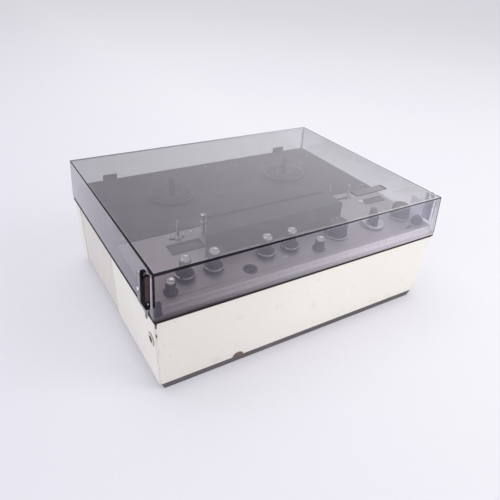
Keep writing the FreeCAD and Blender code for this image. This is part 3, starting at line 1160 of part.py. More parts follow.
def transport_lever():
    """Disc with the bar that selects winding, playing and stop."""
    low, s = BUSHING_PROUD + END_FLOAT, SHAFT_RADIUS
    r, top = LEVER_DISC_RADIUS, LEVER_DISC_TOP
    disc = turned([(0, shaft_foot()), (s, shaft_foot()), (s, low), (r - 0.6, low), (r, low + 0.6), (r, top - 1.6),
                   (r - 1.6, top), (0, top)])
    half, thick = LEVER_LENGTH / 2, LEVER_THICKNESS / 2
    bar = Part.Face(Part.makePolygon([Vector(0, -half, top - 1), Vector(0, half, top - 1),
                                      Vector(0, half - 1.5, LEVER_HEIGHT - 2), Vector(0, half - 4, LEVER_HEIGHT),
                                      Vector(0, 4 - half, LEVER_HEIGHT), Vector(0, 1.5 - half, LEVER_HEIGHT - 2),
                                      Vector(0, -half, top - 1)])).extrude(Vector(2 * thick, 0, 0))
    bar.translate(Vector(-thick, 0, 0))
    bar = turned_about(bar, LEVER_TURN, 0, 0)
    return on_panel(joined([disc, bar]), LEVER_PLACE)


def level_meter():
    """Meter housing under the panel with its framed window and dial."""
    length, depth, edge, wall = METER_LENGTH, METER_DEPTH, METER_BEZEL, METER_SHELL
    y = along(METER_Y)
    x0, x1, y0, y1 = METER_X - length / 2, METER_X + length / 2, y - depth / 2, y + depth / 2
    frame = box(x0 - edge, x1 + edge, y0 - edge, y1 + edge, 0, edge)
    collar = box(x0, x1, y0, y1, BELOW_PANEL - 1, edge)
    body = box(x0 - edge, x1 + edge, y0 - METER_BODY_REACH, y1 + edge, BELOW_PANEL - METER_BODY_HEIGHT, BELOW_PANEL)
    view = box(x0 + wall, x1 - wall, y0 + wall, y1 - wall, -METER_DIAL, 2 * edge)
    room = box(x0 + wall, x1 - wall, y0 - METER_BODY_REACH + wall, y1 - wall, -METER_DIAL, BELOW_PANEL - 1)
    pin = rod(NEEDLE_PIN_RADIUS, -METER_DIAL - 1, -METER_DIAL + 4, METER_X, y0 - METER_BODY_REACH + wall + 5)
    return on_panel(joined([frame, collar, body]).cut(view).cut(room).fuse(pin))


def needle_pivot():
    return (METER_X, along(METER_Y) - METER_DEPTH / 2 - METER_BODY_REACH + METER_SHELL + 5)


def meter_needle():
    x, y = needle_pivot()
    z = -METER_DIAL + 1.5
    hub = rod(2.5, z, z + 1.5, x, y)
    arm = box(x - NEEDLE_WIDTH / 2, x + NEEDLE_WIDTH / 2, y, y + NEEDLE_LENGTH, z + 0.5, z + 1.0)
    needle = joined([hub, arm]).cut(rod(NEEDLE_PIN_RADIUS + RUNNING, -METER_DIAL, 0, x, y))
    return on_panel(turned_about(needle, NEEDLE_REST, x, y))


def wheel_axis():
    """Height of the number wheels' axis below the panel's top."""
    return BELOW_PANEL - WHEEL_RADIUS - END_FLOAT


def counter_frame():
    """Counter housing with its framed window, and the guide of the reset button beside it."""
    length, depth, edge, wall = COUNTER_LENGTH, COUNTER_DEPTH, METER_BEZEL, COUNTER_SHELL
    y, reach = along(COUNTER_Y), WHEEL_RADIUS + 3 * END_FLOAT + COUNTER_SHELL
    x0, x1, y0, y1 = COUNTER_X - length / 2, COUNTER_X + length / 2, y - depth / 2, y + depth / 2
    low = BELOW_PANEL - COUNTER_BODY_HEIGHT
    frame = box(x0 - edge, x1 + edge, y0 - edge, y1 + edge, 0, edge)
    collar = box(x0, x1, y0, y1, BELOW_PANEL - 1, edge)
    body = box(RESET_X - RESET_LENGTH / 2 - 2, x1 + edge, y - reach, y + reach, low, BELOW_PANEL)
    view = box(x0 + wall, x1 - wall, y0 + wall, y1 - wall, BELOW_PANEL - 2, 2 * edge)
    room = box(x0 + wall, x1 - wall, y - reach + wall, y + reach - wall, low + wall / 2, BELOW_PANEL)
    ry, rx = along(RESET_Y), RESET_LENGTH / 2 + RESET_PLAY
    guide = box(RESET_X - rx, RESET_X + rx, ry - RESET_DEPTH / 2 - RESET_PLAY, ry + RESET_DEPTH / 2 + RESET_PLAY,
                low + 2, 2)
    shaft = rod_along_x(WHEEL_SHAFT_RADIUS, x0, x1, y, wheel_axis())
    return on_panel(joined([frame, collar, body]).cut(view).cut(room).cut(guide).fuse(shaft).removeSplitter())


def number_wheel(place):
    """One of the three number wheels; place 0 is the units wheel on the right."""
    x1 = COUNTER_X + COUNTER_LENGTH / 2 - COUNTER_SHELL - 2.0 - place * (WHEEL_WIDTH + WHEEL_GAP)
    y, z = along(COUNTER_Y), wheel_axis()
    wheel = rod_along_x(WHEEL_RADIUS, x1 - WHEEL_WIDTH, x1, y, z)
    hub = rod_along_x(WHEEL_SHAFT_RADIUS + RUNNING, x1 - WHEEL_WIDTH - 1, x1 + 1, y, z)
    return on_panel(wheel.cut(hub))


def reset_button():
    low = BELOW_PANEL - COUNTER_BODY_HEIGHT + 2 + RESET_TRAVEL + END_FLOAT
    y = along(RESET_Y)
    button = box(RESET_X - RESET_LENGTH / 2, RESET_X + RESET_LENGTH / 2, y - RESET_DEPTH / 2, y + RESET_DEPTH / 2,
                 low, RESET_PROUD)
    upper = [edge for edge in button.Edges if edge.BoundBox.ZMin > RESET_PROUD - 0.1]
    return on_panel(button.makeFillet(0.8, upper))


def display_windows():
    """Clear panes set in the frames of meter and counter."""
    panes = []
    for x, y, length, depth, wall in ((METER_X, METER_Y, METER_LENGTH, METER_DEPTH, METER_SHELL),
                                      (COUNTER_X, COUNTER_Y, COUNTER_LENGTH, COUNTER_DEPTH, COUNTER_SHELL)):
        a, b, middle = length / 2 - wall, depth / 2 - wall, along(y)
        top = METER_BEZEL - 0.3
        panes.append(on_panel(box(x - a, x + a, middle - b, middle + b, top - PANE_THICKNESS, top)))
    return panes


def din_socket():
    """Round socket, drawn about the Z axis with its flange at the origin and its mouth up."""
    return turned([(0, -SOCKET_LENGTH), (SOCKET_BODY_RADIUS, -SOCKET_LENGTH), (SOCKET_BODY_RADIUS, 0),
                   (SOCKET_FLANGE_RADIUS, 0), (SOCKET_FLANGE_RADIUS, SOCKET_FLANGE),
                   (SOCKET_BORE_RADIUS, SOCKET_FLANGE), (SOCKET_BORE_RADIUS, SOCKET_FLANGE - SOCKET_BORE_DEPTH),
                   (0, SOCKET_FLANGE - SOCKET_BORE_DEPTH)])


def back_socket_xs():
    last = BACK_X + BACK_LENGTH / 2 - BACK_MARGIN - SOCKET_FLANGE_RADIUS - 4
    return [last - i * BACK_SOCKET_PITCH for i in range(BACK_SOCKET_COUNT)]


def inlet_x():
    return BACK_X - BACK_LENGTH / 2 + BACK_MARGIN + INLET_LENGTH / 2 + 4


def din_sockets():
    sockets = [on_panel(din_socket(), MIC_PLACE)]
    for x in back_socket_xs():
        socket = din_socket()
        socket.rotate(Vector(), Vector(1, 0, 0), -90)
        socket.translate(Vector(x, 0, BACK_HEIGHT))
        sockets.append(placed(socket, CASE_BACK_FRAME))
    return sockets


def connector_plate():
    x0, x1 = BACK_X - BACK_LENGTH / 2, BACK_X + BACK_LENGTH / 2
    z0, z1 = BACK_HEIGHT - BACK_WIDTH / 2, BACK_HEIGHT + BACK_WIDTH / 2
    plate = box(x0, x1, -BACK_SHEET, 0, z0, z1)
    cutters = [rod_along_y(SOCKET_BODY_RADIUS, -2 * BACK_SHEET, BACK_SHEET, x, BACK_HEIGHT) for x in back_socket_xs()]
    half, tall = INLET_LENGTH / 2, INLET_WIDTH / 2
    cutters.append(box(inlet_x() - half, inlet_x() + half, -2 * BACK_SHEET, BACK_SHEET,
                       BACK_HEIGHT - tall, BACK_HEIGHT + tall))
    return placed(plate.cut(Part.makeCompound(cutters)), CASE_BACK_FRAME)


def mains_inlet():
    """Shrouded two-pin inlet for a plug-on mains lead."""
    x, half, tall, w = inlet_x(), INLET_LENGTH / 2, INLET_WIDTH / 2, INLET_WALL
    z = BACK_HEIGHT
    body = box(x - half, x + half, -INLET_DEPTH, 1.0, z - tall, z + tall)
    flange = box(x - half - w, x + half + w, 0, 1.0, z - tall - w, z + tall + w)
    mouth = box(x - half + w, x + half - w, -INLET_DEPTH + 3, 2.0, z - tall + w, z + tall - w)
    shell = joined([body, flange]).cut(mouth)
    pins = [rod_along_y(INLET_PIN_RADIUS, -INLET_DEPTH + 2, -3.0, x + side * half / 2, z) for side in (-1, 1)]
    return placed(joined([shell] + pins), CASE_BACK_FRAME)


def transformer():
    """Laminated core standing in the pan, with its coil."""
    x0, x1 = CORE_X - CORE_LENGTH / 2, CORE_X + CORE_LENGTH / 2
    y0, y1 = CORE_Y - CORE_DEPTH / 2 + COIL_BULGE, CORE_Y + CORE_DEPTH / 2 - COIL_BULGE
    limb = CORE_LENGTH / 6
    z0, z1 = Z_FLOOR, Z_FLOOR + CORE_HEIGHT
    core = box(x0, x1, y0, y1, z0, z1)
    for side in (x0 + limb, x1 - 2 * limb):
        core = core.cut(box(side, side + limb, y0 - 1, y1 + 1, z0 + limb, z1 - limb))
    coil = box(x0 + limb, x1 - limb, y0 - COIL_BULGE, y1 + COIL_BULGE, z0 + limb, z1 - limb)
    coil = coil.cut(box(x0 + 2 * limb, x1 - 2 * limb, y0, y1, 0, z1))
    return [core, coil.cut(core)]


def amplifier_board():
    """Circuit board on four standoffs, with its larger components."""
    half = BOARD_LENGTH / 2
    z0 = Z_FLOOR + BOARD_STANDOFF
    z1 = z0 + BOARD_SHEET
    board = box(-half, half, BOARD_FRONT, BOARD_REAR, z0, z1)
    inset = 2 * STANDOFF_RADIUS
    feet = [rod(STANDOFF_RADIUS, Z_FLOOR, z0, x, y) for x in (inset - half, half - inset)
            for y in (BOARD_FRONT + inset, BOARD_REAR - inset)]
    parts = []
    for i in range(PART_COUNT):
        x = (i + 0.5) * BOARD_LENGTH / PART_COUNT - half
        parts.append(rod(PART_RADIUS, z1, z1 + PART_HEIGHT, x, BOARD_FRONT + 3 * BLOCK_DEPTH / 2))
        parts.append(box(x, x + BLOCK_LENGTH, BOARD_REAR - 3 * BLOCK_DEPTH, BOARD_REAR - 2 * BLOCK_DEPTH,
                         z1, z1 + BLOCK_HEIGHT))
    return [joined([board] + feet + parts)]


def dust_cover():
    """Smoked cover: tapered box, open below, with an ear on each side wall for the latch."""
    low, high = (LID_LENGTH, LID_DEPTH), (LID_LENGTH - 2 * LID_DRAFT_X, LID_DEPTH - 2 * LID_DRAFT_Y)
    top = Z_LID + LID_HEIGHT
    share = 1 - LID_WALL / LID_HEIGHT
    inner_low = tuple(size - 2 * LID_WALL for size in low)
    inner_high = (low[0] - 2 * LID_DRAFT_X * share - 2 * LID_WALL, low[1] - 2 * LID_DRAFT_Y * share - 2 * LID_WALL)
    cover = tapered(low, high, Z_LID, top, LID_CORNER)
    upper = [edge for edge in cover.Edges if edge.BoundBox.ZMin > top - 0.1]
    cover = cover.makeFillet(0.8, upper)
    cover = cover.cut(tapered(inner_low, inner_high, Z_LID, top - LID_WALL, LID_CORNER / 2))
    for side in both_sides(placed(latch_ear(), LID_SIDE_FRAME)):
        cover = cover.fuse(side)
    return cover


def latch_middle():
    return (LATCH_FRONT + LATCH_REAR) / 2


def latch_ear():
    """Ear with the latch's bore, in the frame of the lid's side wall."""
    r = LATCH_PIVOT_OUT - 2 * LATCH_GAP
    x, z, y, half = LATCH_PIVOT_OUT, LATCH_PIVOT_HEIGHT, latch_middle(), LATCH_EAR_WIDTH / 2
    ear = joined([rod_along_y(r, y - half, y + half, x, z), box(-1.0, x, y - half, y + half, z - r, z + r)])
    return ear.cut(rod_along_y(LATCH_PIN_RADIUS + RUNNING, y - half - 1, y + half + 1, x, z))


def side_profile(points, arcs, y0, y1):
    """Prism along Y over an outline in x and z; arcs maps a corner's index to a point on the arc after it."""
    edges = []
    for i, point in enumerate(points):
        start, end = (Vector(p[0], y0, p[1]) for p in (point, points[(i + 1) % len(points)]))
        if i in arcs:
            edges.append(Part.Arc(start, Vector(arcs[i][0], y0, arcs[i][1]), end).toShape())
        else:
            edges.append(Part.LineSegment(start, end).toShape())
    return Part.Face(Part.Wire(edges)).extrude(Vector(0, y1 - y0, 0))


def latch():
    """Black grip that swings out from the lid, and the light hasp plate riveted behind it."""
    x, z, gap, proud = LATCH_PIVOT_OUT, LATCH_PIVOT_HEIGHT, LATCH_GAP, LATCH_PROUD
    r = x - gap
    slant = r * math.sqrt(0.5)
    points = [(gap, LATCH_LOW + 1), (gap, z), (x, z + r), (proud - 2, z + r), (proud, z + r - 2), (proud, LATCH_LOW + 3),
              (proud - 3, LATCH_LOW), (gap + 1, LATCH_LOW)]
    corner = 2 * (1 - math.sqrt(0.5))
    grip = side_profile(points, {1: (x - slant, z + slant), 3: (proud - corner, z + r - corner)},
                        LATCH_FRONT, LATCH_REAR)
    y, half = latch_middle(), LATCH_EAR_WIDTH / 2 + LATCH_SLOT_PLAY
    reach = x + r
    slot = box(-1, reach, y - half, y + half, z - r - 2.2, z + 2 * r)
    pin = rod_along_y(LATCH_PIN_RADIUS, y - half - 1, y + half + 1, x, z)
    grip = joined([grip.cut(slot), pin])
    plate = box(gap, gap + HASP_SHEET, HASP_FRONT, HASP_REAR, HASP_LOW, HASP_HIGH)
    upright = [e for e in plate.Edges if e.BoundBox.XLength > HASP_SHEET / 2]
    plate = plate.makeFillet(3.0, upright)
    grip = grip.cut(box(0, gap + HASP_SHEET, HASP_FRONT - 0.1, HASP_REAR, HASP_LOW, HASP_HIGH + 0.1))
    rivet = rod_along_x(2.4, gap + HASP_SHEET, gap + HASP_SHEET + 1.2, HASP_REAR - 5, 12.0)
    return [placed(grip, LID_SIDE_FRAME), placed(joined([plate, rivet]), LID_SIDE_FRAME)]


def knuckle(x0, x1, bore):
    barrel = rod_along_x(HINGE_KNUCKLE, x0, x1, HINGE_Y, HINGE_Z)
    return barrel.cut(rod_along_x(bore, x0 - 1, x1 + 1, HINGE_Y, HINGE_Z))


def hinge_leaf():
    """Leaf screwed on the case's rear edge, with the two outer knuckles."""
    half, middle = HINGE_WIDTH / 2, HINGE_MIDDLE / 2
    x0, x1 = HINGE_X - half, HINGE_X + half
    leaf = box(x0, x1, HINGE_Y - HINGE_LEAF_DEPTH, HINGE_Y, Z_RIM, Z_RIM + HINGE_SHEET)
    clear = HINGE_KNUCKLE + 2 * END_FLOAT
    leaf = leaf.cut(box(HINGE_X - middle - END_FLOAT, HINGE_X + middle + END_FLOAT, HINGE_Y - clear,
                        HINGE_Y + clear, 0, Z_LID))
    ends = [rod_along_x(HINGE_KNUCKLE, x0, HINGE_X - middle - END_FLOAT, HINGE_Y, HINGE_Z),
            rod_along_x(HINGE_KNUCKLE, HINGE_X + middle + END_FLOAT, x1, HINGE_Y, HINGE_Z)]
    return joined([leaf] + ends).cut(rod_along_x(HINGE_PIN_RADIUS, x0 - 1, x1 + 1, HINGE_Y, HINGE_Z))


def hinge_strap():
    """Strap inside the lid's rear wall, with the middle knuckle."""
    half, middle = HINGE_STRAP_WIDTH / 2, HINGE_MIDDLE / 2
    wall = -LID_WALL
    strap = box(HINGE_X - half, HINGE_X + half, wall - HINGE_SHEET, wall, 0.5, HINGE_STRAP_RISE)
    stem = box(HINGE_X - middle, HINGE_X + middle, wall - HINGE_SHEET, wall, -RIM_HEIGHT / 2, 1.0)
    strap = placed(joined([strap, stem]), LID_BACK_FRAME)
    barrel = rod_along_x(HINGE_KNUCKLE, HINGE_X - middle, HINGE_X + middle, HINGE_Y, HINGE_Z)
    bore = rod_along_x(HINGE_PIN_RADIUS + RUNNING, HINGE_X - half, HINGE_X + half, HINGE_Y, HINGE_Z)
    return joined([strap, barrel]).cut(bore)


def hinge_pin():
    half = HINGE_WIDTH / 2
    return rod_along_x(HINGE_PIN_RADIUS, HINGE_X - half, HINGE_X + half, HINGE_Y, HINGE_Z)


def build():
    os.makedirs("parts", exist_ok=True)
    save("case_shell", case_shell())
    grilles = both_sides(grille())
    save("left_grille", grilles[0])
    save("right_grille", grilles[1])
    save("loudspeakers", *[side for piece in loudspeaker() for side in both_sides(piece)])
    save("bottom_pan", bottom_pan())
    save("rubber_feet", *rubber_feet())
    save("studs_and_screws", *both_sides(strap_stud()), *both_sides(catch_stud()), *screws())
    save("chassis_rim", chassis_rim())
    save("chassis_plate", chassis_plate())
    save("deck_plate", deck_plate())
    save("control_panel", control_panel())
    save("connector_plate", connector_plate())
    save("din_sockets", *din_sockets())
    save("mains_inlet", mains_inlet())
    save("hinge_leaves", *both_sides(hinge_leaf()))
    save("hinge_pins", *both_sides(hinge_pin()))
    save("dust_cover", dust_cover())
    save("cover_hinge_straps", *both_sides(hinge_strap()))
    save("left_latch", *[mirrored(piece) for piece in latch()])
    save("right_latch", *latch())
    save("supply_turntable", *turntable(REEL_XS[0]))
    save("takeup_turntable", *turntable(REEL_XS[1]))
    save("spindle_bearings", *spindle_bearings())
    save("tape_heads", *tape_heads())
    save("head_cover", head_cover())
    save("guide_posts", *guide_posts())
    save("left_tension_arm", tension_arm(ARM_PIVOT_LEFT, ARM_REST_LEFT, ARM_TOP_LEFT))
    save("right_tension_arm", tension_arm(ARM_PIVOT_RIGHT, ARM_REST_RIGHT, ARM_TOP_RIGHT))
    save("flywheel", flywheel())
    save("pinch_arm", pinch_arm())
    save("pinch_roller", pinch_roller())
    save("drive_motor", drive_motor())
    save("motor_pulley", motor_pulley())
    save("drive_belt", drive_belt())
    save("transformer", *transformer())
    save("amplifier_board", *amplifier_board())
    save("level_meter", level_meter())
    save("meter_needle", meter_needle())
    save("display_windows", *display_windows())
    save("counter_frame", counter_frame())
    save("units_wheel", number_wheel(0))
    save("tens_wheel", number_wheel(1))
    save("hundreds_wheel", number_wheel(2))
    save("reset_button", reset_button())
    for number, x in enumerate(MIXER_XS, 1):
        save(f"mixer_ring_{number}", mixer_ring(x))
        save(f"mixer_cap_{number}", mixer_cap(x))
    save("bass_knob", tone_knob(BASS_PLACE))
    save("treble_knob", tone_knob(TREBLE_PLACE))
    save("selector_knob", round_knob(SELECTOR_PLACE, SELECTOR_RING_RADIUS, SELECTOR_RADIUS, SELECTOR_HEIGHT,
                                     SELECTOR_FLUTES))
    save("transport_lever", transport_lever())
    save("volume_knob", round_knob(VOLUME_PLACE, VOLUME_RING_RADIUS, VOLUME_RADIUS, VOLUME_HEIGHT,
                                   SELECTOR_FLUTES))
    save("slide_switch", slide_switch())
    save("power_button", power_button())
    save("control_pots", *control_pots())


build()
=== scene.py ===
# %% [markdown]
# # A portable tape recorder under its smoked cover
#
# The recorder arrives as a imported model: every rigid piece is already there at its real size.
# This notebook dresses it. We keep the pieces whose shape is right and give them a finish,
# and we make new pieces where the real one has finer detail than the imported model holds.

# %% Load the model
import math

import bmesh
import bpy
from mathutils import Euler, Matrix, Vector


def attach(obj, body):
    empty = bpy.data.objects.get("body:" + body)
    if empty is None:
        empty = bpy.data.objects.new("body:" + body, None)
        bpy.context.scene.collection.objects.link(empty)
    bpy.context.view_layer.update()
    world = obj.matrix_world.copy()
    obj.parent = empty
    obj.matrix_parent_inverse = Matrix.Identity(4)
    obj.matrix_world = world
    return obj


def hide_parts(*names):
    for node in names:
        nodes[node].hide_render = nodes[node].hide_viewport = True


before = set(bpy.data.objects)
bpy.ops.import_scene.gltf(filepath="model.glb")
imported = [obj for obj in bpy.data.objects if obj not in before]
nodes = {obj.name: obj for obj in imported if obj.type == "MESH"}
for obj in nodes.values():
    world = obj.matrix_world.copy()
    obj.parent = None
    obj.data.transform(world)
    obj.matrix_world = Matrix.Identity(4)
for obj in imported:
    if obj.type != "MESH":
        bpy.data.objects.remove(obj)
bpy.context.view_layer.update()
MM = 0.001

# %% [markdown]
# The photograph was taken from the left, above the front edge, with the camera turned slightly.
# A camera looks along its own -Z, so we aim that axis and then roll about it.

# %% Camera
def in_scene(name, data):
    """A new object in the scene."""
    made = bpy.data.objects.new(name, data)
    bpy.context.scene.collection.objects.link(made)
    return made


eye = Vector((-0.3518, -0.5478, 0.4593))
line_of_sight = Vector((0.4637, 0.7095, -0.5306))
roll = math.radians(3.98)

camera = in_scene("camera", bpy.data.cameras.new("camera"))
camera.data.lens = 35.16
camera.data.sensor_width = 36.0
camera.rotation_mode = "QUATERNION"
camera.location = eye
camera.rotation_quaternion = line_of_sight.to_track_quat("-Z", "Y") @ Euler((0, 0, roll)).to_quaternion()
bpy.context.scene.camera = camera
bpy.context.scene.view_settings.view_transform = "Standard"

# %% [markdown]
# ## Writing trees of nodes as sums
#
# Materials and Geometry Nodes are both trees, and a tree is slow to read when every sum takes four
# lines. So we wrap a socket in a small class: `a * 0.5 + b` then adds the Math nodes for us.

# %% A socket that can be added and multiplied
def plug(tree, slot, value):
    """Give a socket of a node a link or a plain value."""
    if isinstance(value, Value):
        tree.links.new(value.socket, slot)
    else:
        slot.default_value = value


def method(operation, flip=False):
    """A method of Value that adds one Math node; flip swaps its terms."""
    return lambda self, *others: self.math(operation, *others, flip=flip)


class Value:
    """One output of a tree. Arithmetic on it adds Math nodes."""

    def __init__(self, tree, socket):
        self.tree, self.socket = tree, socket

    def math(self, operation, *others, flip=False):
        node = self.tree.nodes.new("ShaderNodeMath")
        node.operation = operation
        terms = [self, *others]
        for slot, term in zip(node.inputs, reversed(terms) if flip else terms):
            plug(self.tree, slot, term)
        return Value(self.tree, node.outputs[0])

    __add__ = __radd__ = method("ADD")
    __sub__, __rsub__ = method("SUBTRACT"), method("SUBTRACT", flip=True)
    __mul__ = __rmul__ = method("MULTIPLY")
    __truediv__, __pow__ = method("DIVIDE"), method("POWER")
    size, least, most = method("ABSOLUTE"), method("MINIMUM"), method("MAXIMUM")

    def rise(self, start, end):
        """0 below start, 1 above end, and a straight rise between them."""
        return ((self - start) * (1.0 / (end - start))).most(0.0).least(1.0)

    def fall(self, start, end):
        return 1.0 - self.rise(start, end)


# %% [markdown]
# Any other node comes from one method. It sets the node's own settings first, because they can
# change which sockets it has, and then gives each socket a value or a link.

# %% A tree with one method for its nodes
class Tree:
    def __init__(self, tree):
        self.tree = tree

    def node(self, kind, settings=None, inputs=None, output=0):
        node = self.tree.nodes.new(kind)
        for key, value in (settings or {}).items():
            setattr(node, key, value)
        for key, value in (inputs or {}).items():
            plug(self.tree, node.inputs[key], value)
        return Value(self.tree, node.outputs[output])


# %% [markdown]
# A finish is one material. Its constants, such as metallic or the weight of a clear coat, are set
# on the shader itself. What changes over the surface is linked, and reads Object coordinates:
# every piece sits at the origin, so these are the recorder's own metres. A colour is laid on as a
# painter does it: a ground, and coats over it, each through a mask.

# %% A finish and its patterns
class Finish(Tree):
    """A material with helpers for the nodes that its pattern needs."""

    made = {}

    def __init__(self, name, color=(0.5, 0.5, 0.5), roughness=0.5, metallic=0.0, coat=0.0, specular=0.5):
        self.material = bpy.data.materials.new(name)
        self.material.use_nodes = True
        super().__init__(self.material.node_tree)
        self.shader = self.tree.nodes["Principled BSDF"]
        constants = {"Base Color": (*color, 1.0), "Roughness": roughness, "Metallic": metallic,
                     "Coat Weight": coat, "Coat Roughness": 0.12, "Specular IOR Level": specular}
        for socket, value in constants.items():
            self.shader.inputs[socket].default_value = value
        self.place = self.node("ShaderNodeTexCoord", output="Object")
        Finish.made[name] = self

    def axes(self):
        split = self.node("ShaderNodeSeparateXYZ", inputs={0: self.place})
        return [Value(self.tree, split.socket.node.outputs[i]) for i in range(3)]

    def stretched(self, scale, turn=(0, 0, 0)):
        return self.node("ShaderNodeMapping", inputs={"Vector": self.place, "Rotation": turn, "Scale": scale})

    def noise(self, scale, detail=2.0, place=None, roughness=0.5):
        return self.node("ShaderNodeTexNoise", inputs={
            "Vector": place or self.place, "Scale": scale, "Detail": detail, "Roughness": roughness})

    def cells(self, scale):
        return self.node("ShaderNodeTexVoronoi", inputs={"Vector": self.place, "Scale": scale})

    def mix(self, share, first, second):
        """A colour between two, which are colours or other mixes."""
        first, second = [color if isinstance(color, Value) else (*color, 1.0) for color in (first, second)]
        return self.node("ShaderNodeMix", {"data_type": "RGBA"}, {0: share, 6: first, 7: second}, output=2)

    def layers(self, color, *coats):
        """A ground with coats over it, each a mask and a colour."""
        for mask, coat in coats:
            color = self.mix(mask, color, coat)
        return color

    def feed(self, socket, value):
        plug(self.tree, self.shader.inputs[socket], value)

    def paint(self, color, *coats):
        self.feed("Base Color", self.layers(color, *coats))

    def bump(self, height, depth):
        self.feed("Normal", self.node("ShaderNodeBump", inputs={"Height": height, "Distance": depth}))


def sum_of_squares(terms):
    return sum(term * term for term in terms)


def spot(finish, centre, radii, ragged, grain):
    """1 inside an ellipsoid about a point, 0 outside, with a ragged edge."""
    reach = sum_of_squares([(axis - c) / r for axis, c, r in zip(finish.axes(), centre, radii)])
    return (reach + (finish.noise(grain, 3.0) - 0.5) * ragged).fall(0.85, 1.15)


# %% [markdown]
# ## The room
#
# The recorder stood on a white cloth in soft daylight. We lay a plain floor that fills the picture.
# A white floor would have to be lit very brightly to look white, and that would wash out the
# object. So where the camera or a reflection looks at it, the floor also glows a little by itself.
# The recorder's shadow still falls on it. Towards the left the floor's colour and glow are painted darker, as painted
# shade.

# %% Floor
floor = in_scene("floor", bpy.data.meshes.new("floor"))
sheet = bmesh.new()
bmesh.ops.create_grid(sheet, x_segments=2, y_segments=2, size=12.0)
sheet.to_mesh(floor.data)
sheet.free()


def seen(tree):
    """1 for rays from the camera, from a reflection or through glass."""
    rays = [tree.node("ShaderNodeLightPath", output=f"Is {kind} Ray") for kind in ("Camera", "Glossy", "Transmission")]
    return rays[0].most(rays[1]).most(rays[2])


paper = Finish("pale_floor", roughness=0.9)
wave = paper.noise(1.3, 3.0)
# Painted shade: the floor's colour and glow darken towards the left.
shade = paper.axes()[0].fall(-0.75, 0.35)
paper.paint((0.80, 0.79, 0.85), (wave.rise(0.3, 0.7), (0.82, 0.81, 0.84)), (shade, (0.67, 0.655, 0.72)))
paper.feed("Roughness", wave * 0.1 + 0.85)
glow_color = paper.mix(shade, (0.95, 0.945, 0.97), (0.755, 0.745, 0.81))
glow = paper.node("ShaderNodeEmission", inputs={"Color": glow_color, "Strength": 0.89})
lit = Value(paper.tree, paper.shader.outputs[0])
floor_look = paper.node("ShaderNodeMixShader", inputs={0: seen(paper) * 0.42, 1: lit, 2: glow})
paper.tree.links.new(floor_look.socket, paper.tree.nodes["Material Output"].inputs["Surface"])
floor.data.materials.append(paper.material)

# %% [markdown]
# The room is a pale wall all round, and reflections see it darker on the left, where it was open.
# Three large lamps give the soft light. The strongest stands at the right front; it isn't mirrored
# in gloss, because it would lie as a white patch on the cover when one looks from behind.

# %% World and lamps
world = bpy.data.worlds.new("daylight")
world.use_nodes = True
bpy.context.scene.world = world
sky = Tree(world.node_tree)
light = sky.node("ShaderNodeBackground", inputs={"Color": (0.94, 0.94, 1.0, 1.0), "Strength": 0.72})
towards = sky.node("ShaderNodeSeparateXYZ", inputs={0: sky.node("ShaderNodeTexCoord", output="Generated")})
dim = sky.node("ShaderNodeLightPath", output="Is Glossy Ray") * towards.fall(0.25, 0.75) * 0.45
wall = sky.node("ShaderNodeBackground", inputs={"Color": (0.955, 0.955, 0.965, 1.0), "Strength": 0.94 - dim})
both = sky.node("ShaderNodeMixShader", inputs={0: seen(sky), 1: light, 2: wall})
sky.tree.links.new(both.socket, sky.tree.nodes["World Output"].inputs["Surface"])


def lamp(name, place, aim, size, power, color=(1, 1, 1), mirrored=True):
    """A square area lamp at a place, turned to what it lights, and mirrored in gloss or not."""
    light = bpy.data.lights.new(name, "AREA")
    light.shape, light.size, light.energy, light.color = "SQUARE", size, power, color
    holder = in_scene(name, light)
    holder.location, holder.visible_glossy = place, mirrored
    holder.rotation_euler = (Vector(aim) - Vector(place)).to_track_quat("-Z", "Y").to_euler()


lamp("window", (1.8, -1.9, 1.7), (0, 0, 0.1), 1.8, 40.0, (1.0, 0.99, 0.97), mirrored=False)
lamp("ceiling", (-0.3, 0.6, 2.4), (0, 0, 0.1), 2.2, 26.0, (0.96, 0.97, 1.0))
lamp("open_door", (-2.3, -0.5, 0.9), (-0.2, 0, 0.06), 1.4, 9.0, (1.0, 0.98, 0.95))

# %% [markdown]
# ## Lacquer on wood
#
# The case is wood under a thick cream lacquer. Years of carrying have chipped it along the lower
# edge and the corners, where brown shows. Noise alone would chip it everywhere, so the noise is
# weighed by how near a point lies to an edge. The four knocks that catch the eye are single spots.

# %% Cream lacquer
CASE_LEAN = 0.0314
lacquer = Finish("cream_lacquer", roughness=0.42, coat=0.15)
x, y, z = lacquer.axes()
tone = lacquer.noise(9.0, 4.0)
speck = lacquer.cells(125.0)
dots = speck.fall(0.05, 0.12) * (lacquer.noise(24.0, 2.0) + x.fall(-0.22, -0.02) * 0.10).rise(0.57, 0.63)
near_foot = z.fall(0.0135, 0.026)
near_rim = z.rise(0.1090, 0.1122)
side = (x.size() - z * CASE_LEAN).rise(0.2080, 0.2119)
front = (y.size() - z * CASE_LEAN).rise(0.1578, 0.1613)
near_corner = side * front
edge = near_foot * 0.45 + near_rim * 0.35 + near_corner
chips = (lacquer.noise(520.0, 4.0, roughness=0.62) + edge * 0.155).rise(0.76, 0.785)
knock = spot(lacquer, (-0.1070, -0.1625, 0.0140), (0.0078, 0.02, 0.0056), 1.0, 420.0)
for height, tall in ((0.1080, 0.0026), (0.1045, 0.0018), (0.0920, 0.0045)):
    knock = knock.most(spot(lacquer, (-0.2158, -0.1652, height), (0.0024, 0.0024, tall), 2.0, 1400.0))
bare = chips.most(knock).most(dots * 0.55)
